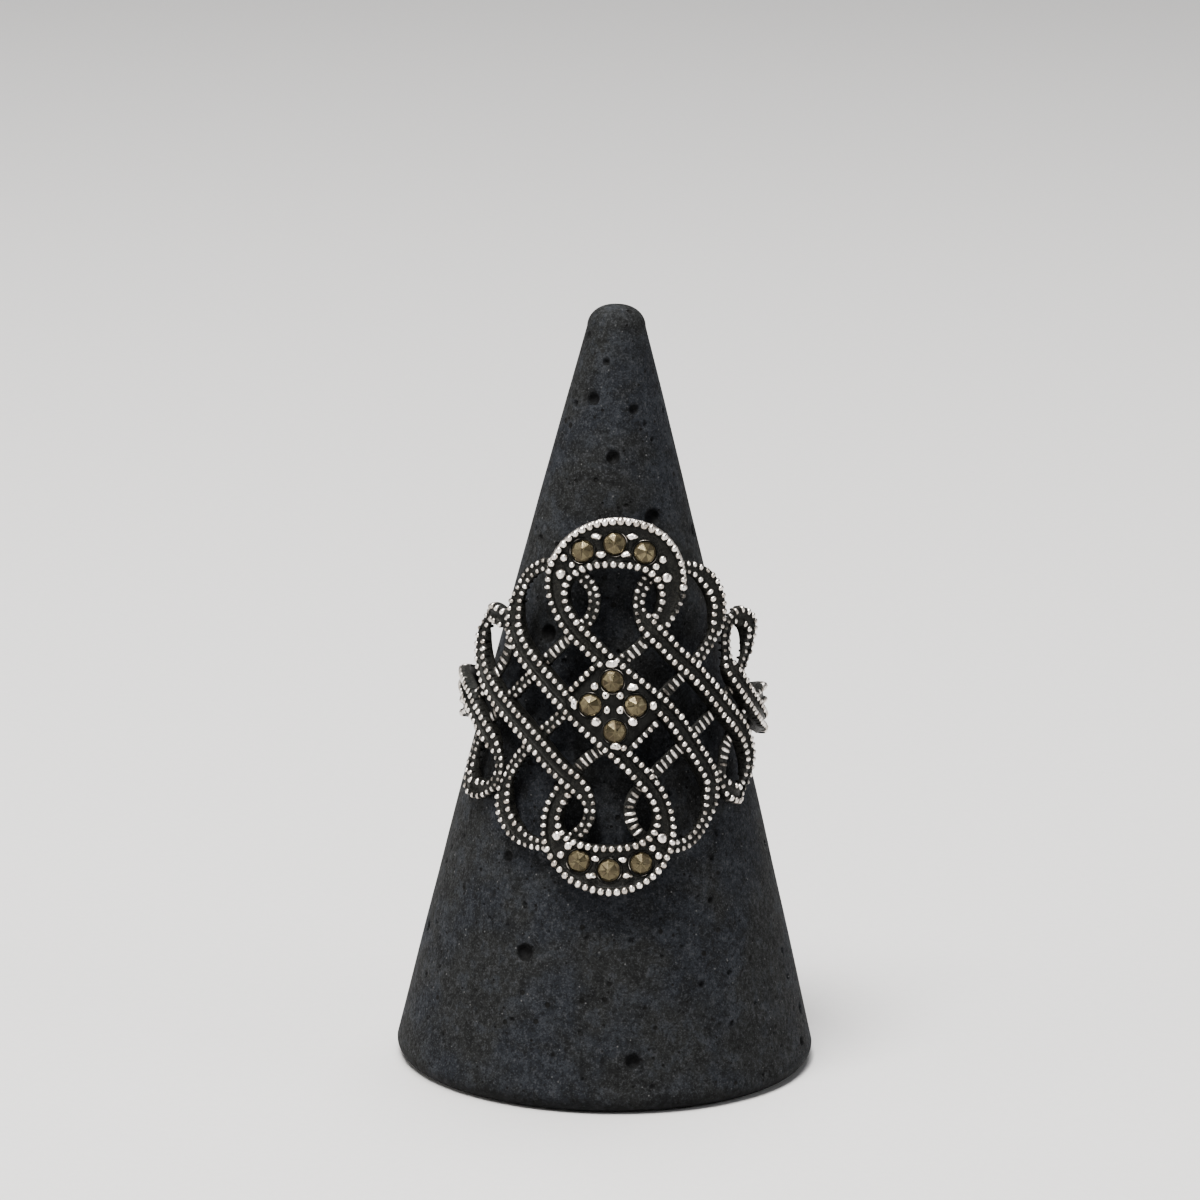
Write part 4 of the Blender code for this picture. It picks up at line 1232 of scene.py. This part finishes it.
dulled_marcasite = marcasite_finish()
chance = random.Random(51)
for stone in STONES:
    mesh = bmesh.new()
    turned = chance.uniform(0, 2 * pi)
    radius = STONE_DIAMETER / 2 * chance.uniform(SMALLEST_STONE, 1.0)
    table = Vector((chance.gauss(0.0, TABLE_SPREAD), chance.gauss(0.0, TABLE_SPREAD), 0.0)) * radius
    for aside, rise, count, turn in STONE_ROWS:
        for index in range(count):
            angle = turned + 2 * pi * (index / count + turn / FACETS)
            uneven = 1 + (chance.gauss(0.0, FACET_SPREAD) if count == FACETS else 0.0)
            spot = Vector((cos(angle), sin(angle), 0.0)) * aside * radius * uneven
            if rise == 1.0:
                spot += table
            mesh.verts.new((spot.x, spot.y, rise * STONE_HEIGHT * (1 + (uneven - 1) * FACET_RISE)))
    hull = bmesh.ops.convex_hull(mesh, input=mesh.verts)
    unused = hull["geom_interior"] + hull["geom_unused"]
    loose = {part for part in unused if isinstance(part, bmesh.types.BMVert)}
    bmesh.ops.delete(mesh, geom=list(loose), context="VERTS")
    bmesh.ops.dissolve_limit(mesh, angle_limit=FLAT_ENOUGH, verts=mesh.verts, edges=mesh.edges)
    bmesh.ops.bevel(mesh, geom=list(mesh.edges), offset=STONE_EDGE_WEAR, segments=1, affect="EDGES")
    lean_x, lean_y = (Matrix.Rotation(chance.gauss(0.0, STONE_LEAN), 4, axis) for axis in "XY")
    mesh.transform(panel_place(stone) @ Matrix.Translation((0, 0, -STONE_BACK)) @ (lean_x @ lean_y))
    piece = add_piece(stone.name + "_cut", *taken(mesh), dulled_marcasite, shade_flat=True)
    tones = [min(1.0, max(0.0, chance.gauss(*FACET_TONE))) for _ in piece.data.polygons]
    piece.data.attributes.new("tone", "FLOAT", "FACE").data.foreach_set("value", tones)
    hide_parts(stone.name)


# Stage, light and camera
# A plain pale floor that curves up all round, soft lights with one low reflector, and a camera at the
# photograph's angle.
FLOOR_REACH = 1.4
FLOOR_RISE = 0.5
FLOOR_FLAT = 0.7  # share of the reach where it starts to curve up
FLOOR_GAP = 0.02 * MM
FLOOR_SIDES = 64
FLOOR_CURVE_ROWS = 8

floor_finish, floor_tree, floor_shader = new_finish("pale_card")
floor_grain = cloud(floor_tree, place_of(floor_tree), 0.6 * MM, 2.0)
floor_colour = blend(floor_tree, floor_grain, (0.70, 0.69, 0.685), (0.74, 0.73, 0.725))
plug(floor_tree, floor_colour, floor_shader.inputs["Base Color"])
floor_shader.inputs["Roughness"].default_value = 0.9
floor_rings = [[(0.0, 0.0, -FLOOR_GAP)]]
for share in (0.02, 0.1, 0.4, FLOOR_FLAT):
    floor_rings.append(circle(FLOOR_REACH * share, -FLOOR_GAP, FLOOR_SIDES))
for step in range(1, FLOOR_CURVE_ROWS + 1):
    angle = pi / 2 * step / FLOOR_CURVE_ROWS
    reach = FLOOR_REACH * mix(FLOOR_FLAT, 1.0, sin(angle))
    floor_rings.append(circle(reach, FLOOR_RISE * (1 - cos(angle)) - FLOOR_GAP, FLOOR_SIDES))
floor = make_object("floor", *skin(floor_rings), floor_finish)

AIM = Vector((0.0, 0.0, 0.025))


def add_soft_light(name, place, size, power, tint, lights_surfaces=True):
    """A square soft light that faces the ring. A reflector only shows in what shines."""
    data = bpy.data.lights.new(name, "AREA")
    data.size = size
    data.energy = power
    data.color = tint
    lamp = bpy.data.objects.new(name, data)
    lamp.location = place
    lamp.visible_diffuse = lights_surfaces
    lamp.rotation_euler = (AIM - Vector(place)).to_track_quat("-Z", "Y").to_euler()
    bpy.context.scene.collection.objects.link(lamp)


add_soft_light("key", (-0.14, -0.19, 0.60), 0.24, 5.6, (1.0, 0.985, 0.96))
add_soft_light("top", (0.03, 0.14, 0.58), 0.30, 2.4, (1.0, 1.0, 1.0))
add_soft_light("left", (-0.46, -0.14, 0.17), 0.30, 0.6, (1.0, 0.99, 0.98))
add_soft_light("right", (0.46, -0.16, 0.19), 0.30, 0.6, (0.97, 0.985, 1.0))
add_soft_light("reflector", (-0.05, -0.55, 0.22), 0.42, 1.0, (1.0, 0.99, 0.97), lights_surfaces=False)

world = bpy.data.worlds.new("studio")
world.use_nodes = True
world.node_tree.nodes["Background"].inputs["Color"].default_value = (0.80, 0.82, 0.85, 1.0)
world.node_tree.nodes["Background"].inputs["Strength"].default_value = 0.12
bpy.context.scene.world = world
bpy.context.scene.view_settings.look = "AgX - Medium High Contrast"

IMAGE_SIZE = 1200
PIXELS_PER_METRE = 15100.0
AIM_PIXEL = (610.3, 690.0)  # where AIM shows in the picture
CAMERA_DISTANCE = 0.45
CAMERA_ELEVATION = radians(14)
CAMERA_ROLL = radians(0.93)

back = Vector((0.0, -cos(CAMERA_ELEVATION), sin(CAMERA_ELEVATION)))
level_right = Vector((1.0, 0.0, 0.0))
level_up = back.cross(level_right)
right = level_right * cos(CAMERA_ROLL) + level_up * sin(CAMERA_ROLL)
up = level_up * cos(CAMERA_ROLL) - level_right * sin(CAMERA_ROLL)
aside, below = ((pixel - IMAGE_SIZE / 2) / PIXELS_PER_METRE for pixel in AIM_PIXEL)
camera_data = bpy.data.cameras.new("camera")
camera_data.angle = 2 * atan(IMAGE_SIZE / 2 / (PIXELS_PER_METRE * CAMERA_DISTANCE))
camera_data.clip_start = 0.01
camera = bpy.data.objects.new("camera", camera_data)
camera.matrix_world = Matrix((right, up, back)).transposed().to_4x4()
camera.location = AIM - right * aside + up * below + back * CAMERA_DISTANCE
bpy.context.scene.collection.objects.link(camera)
bpy.context.scene.camera = camera
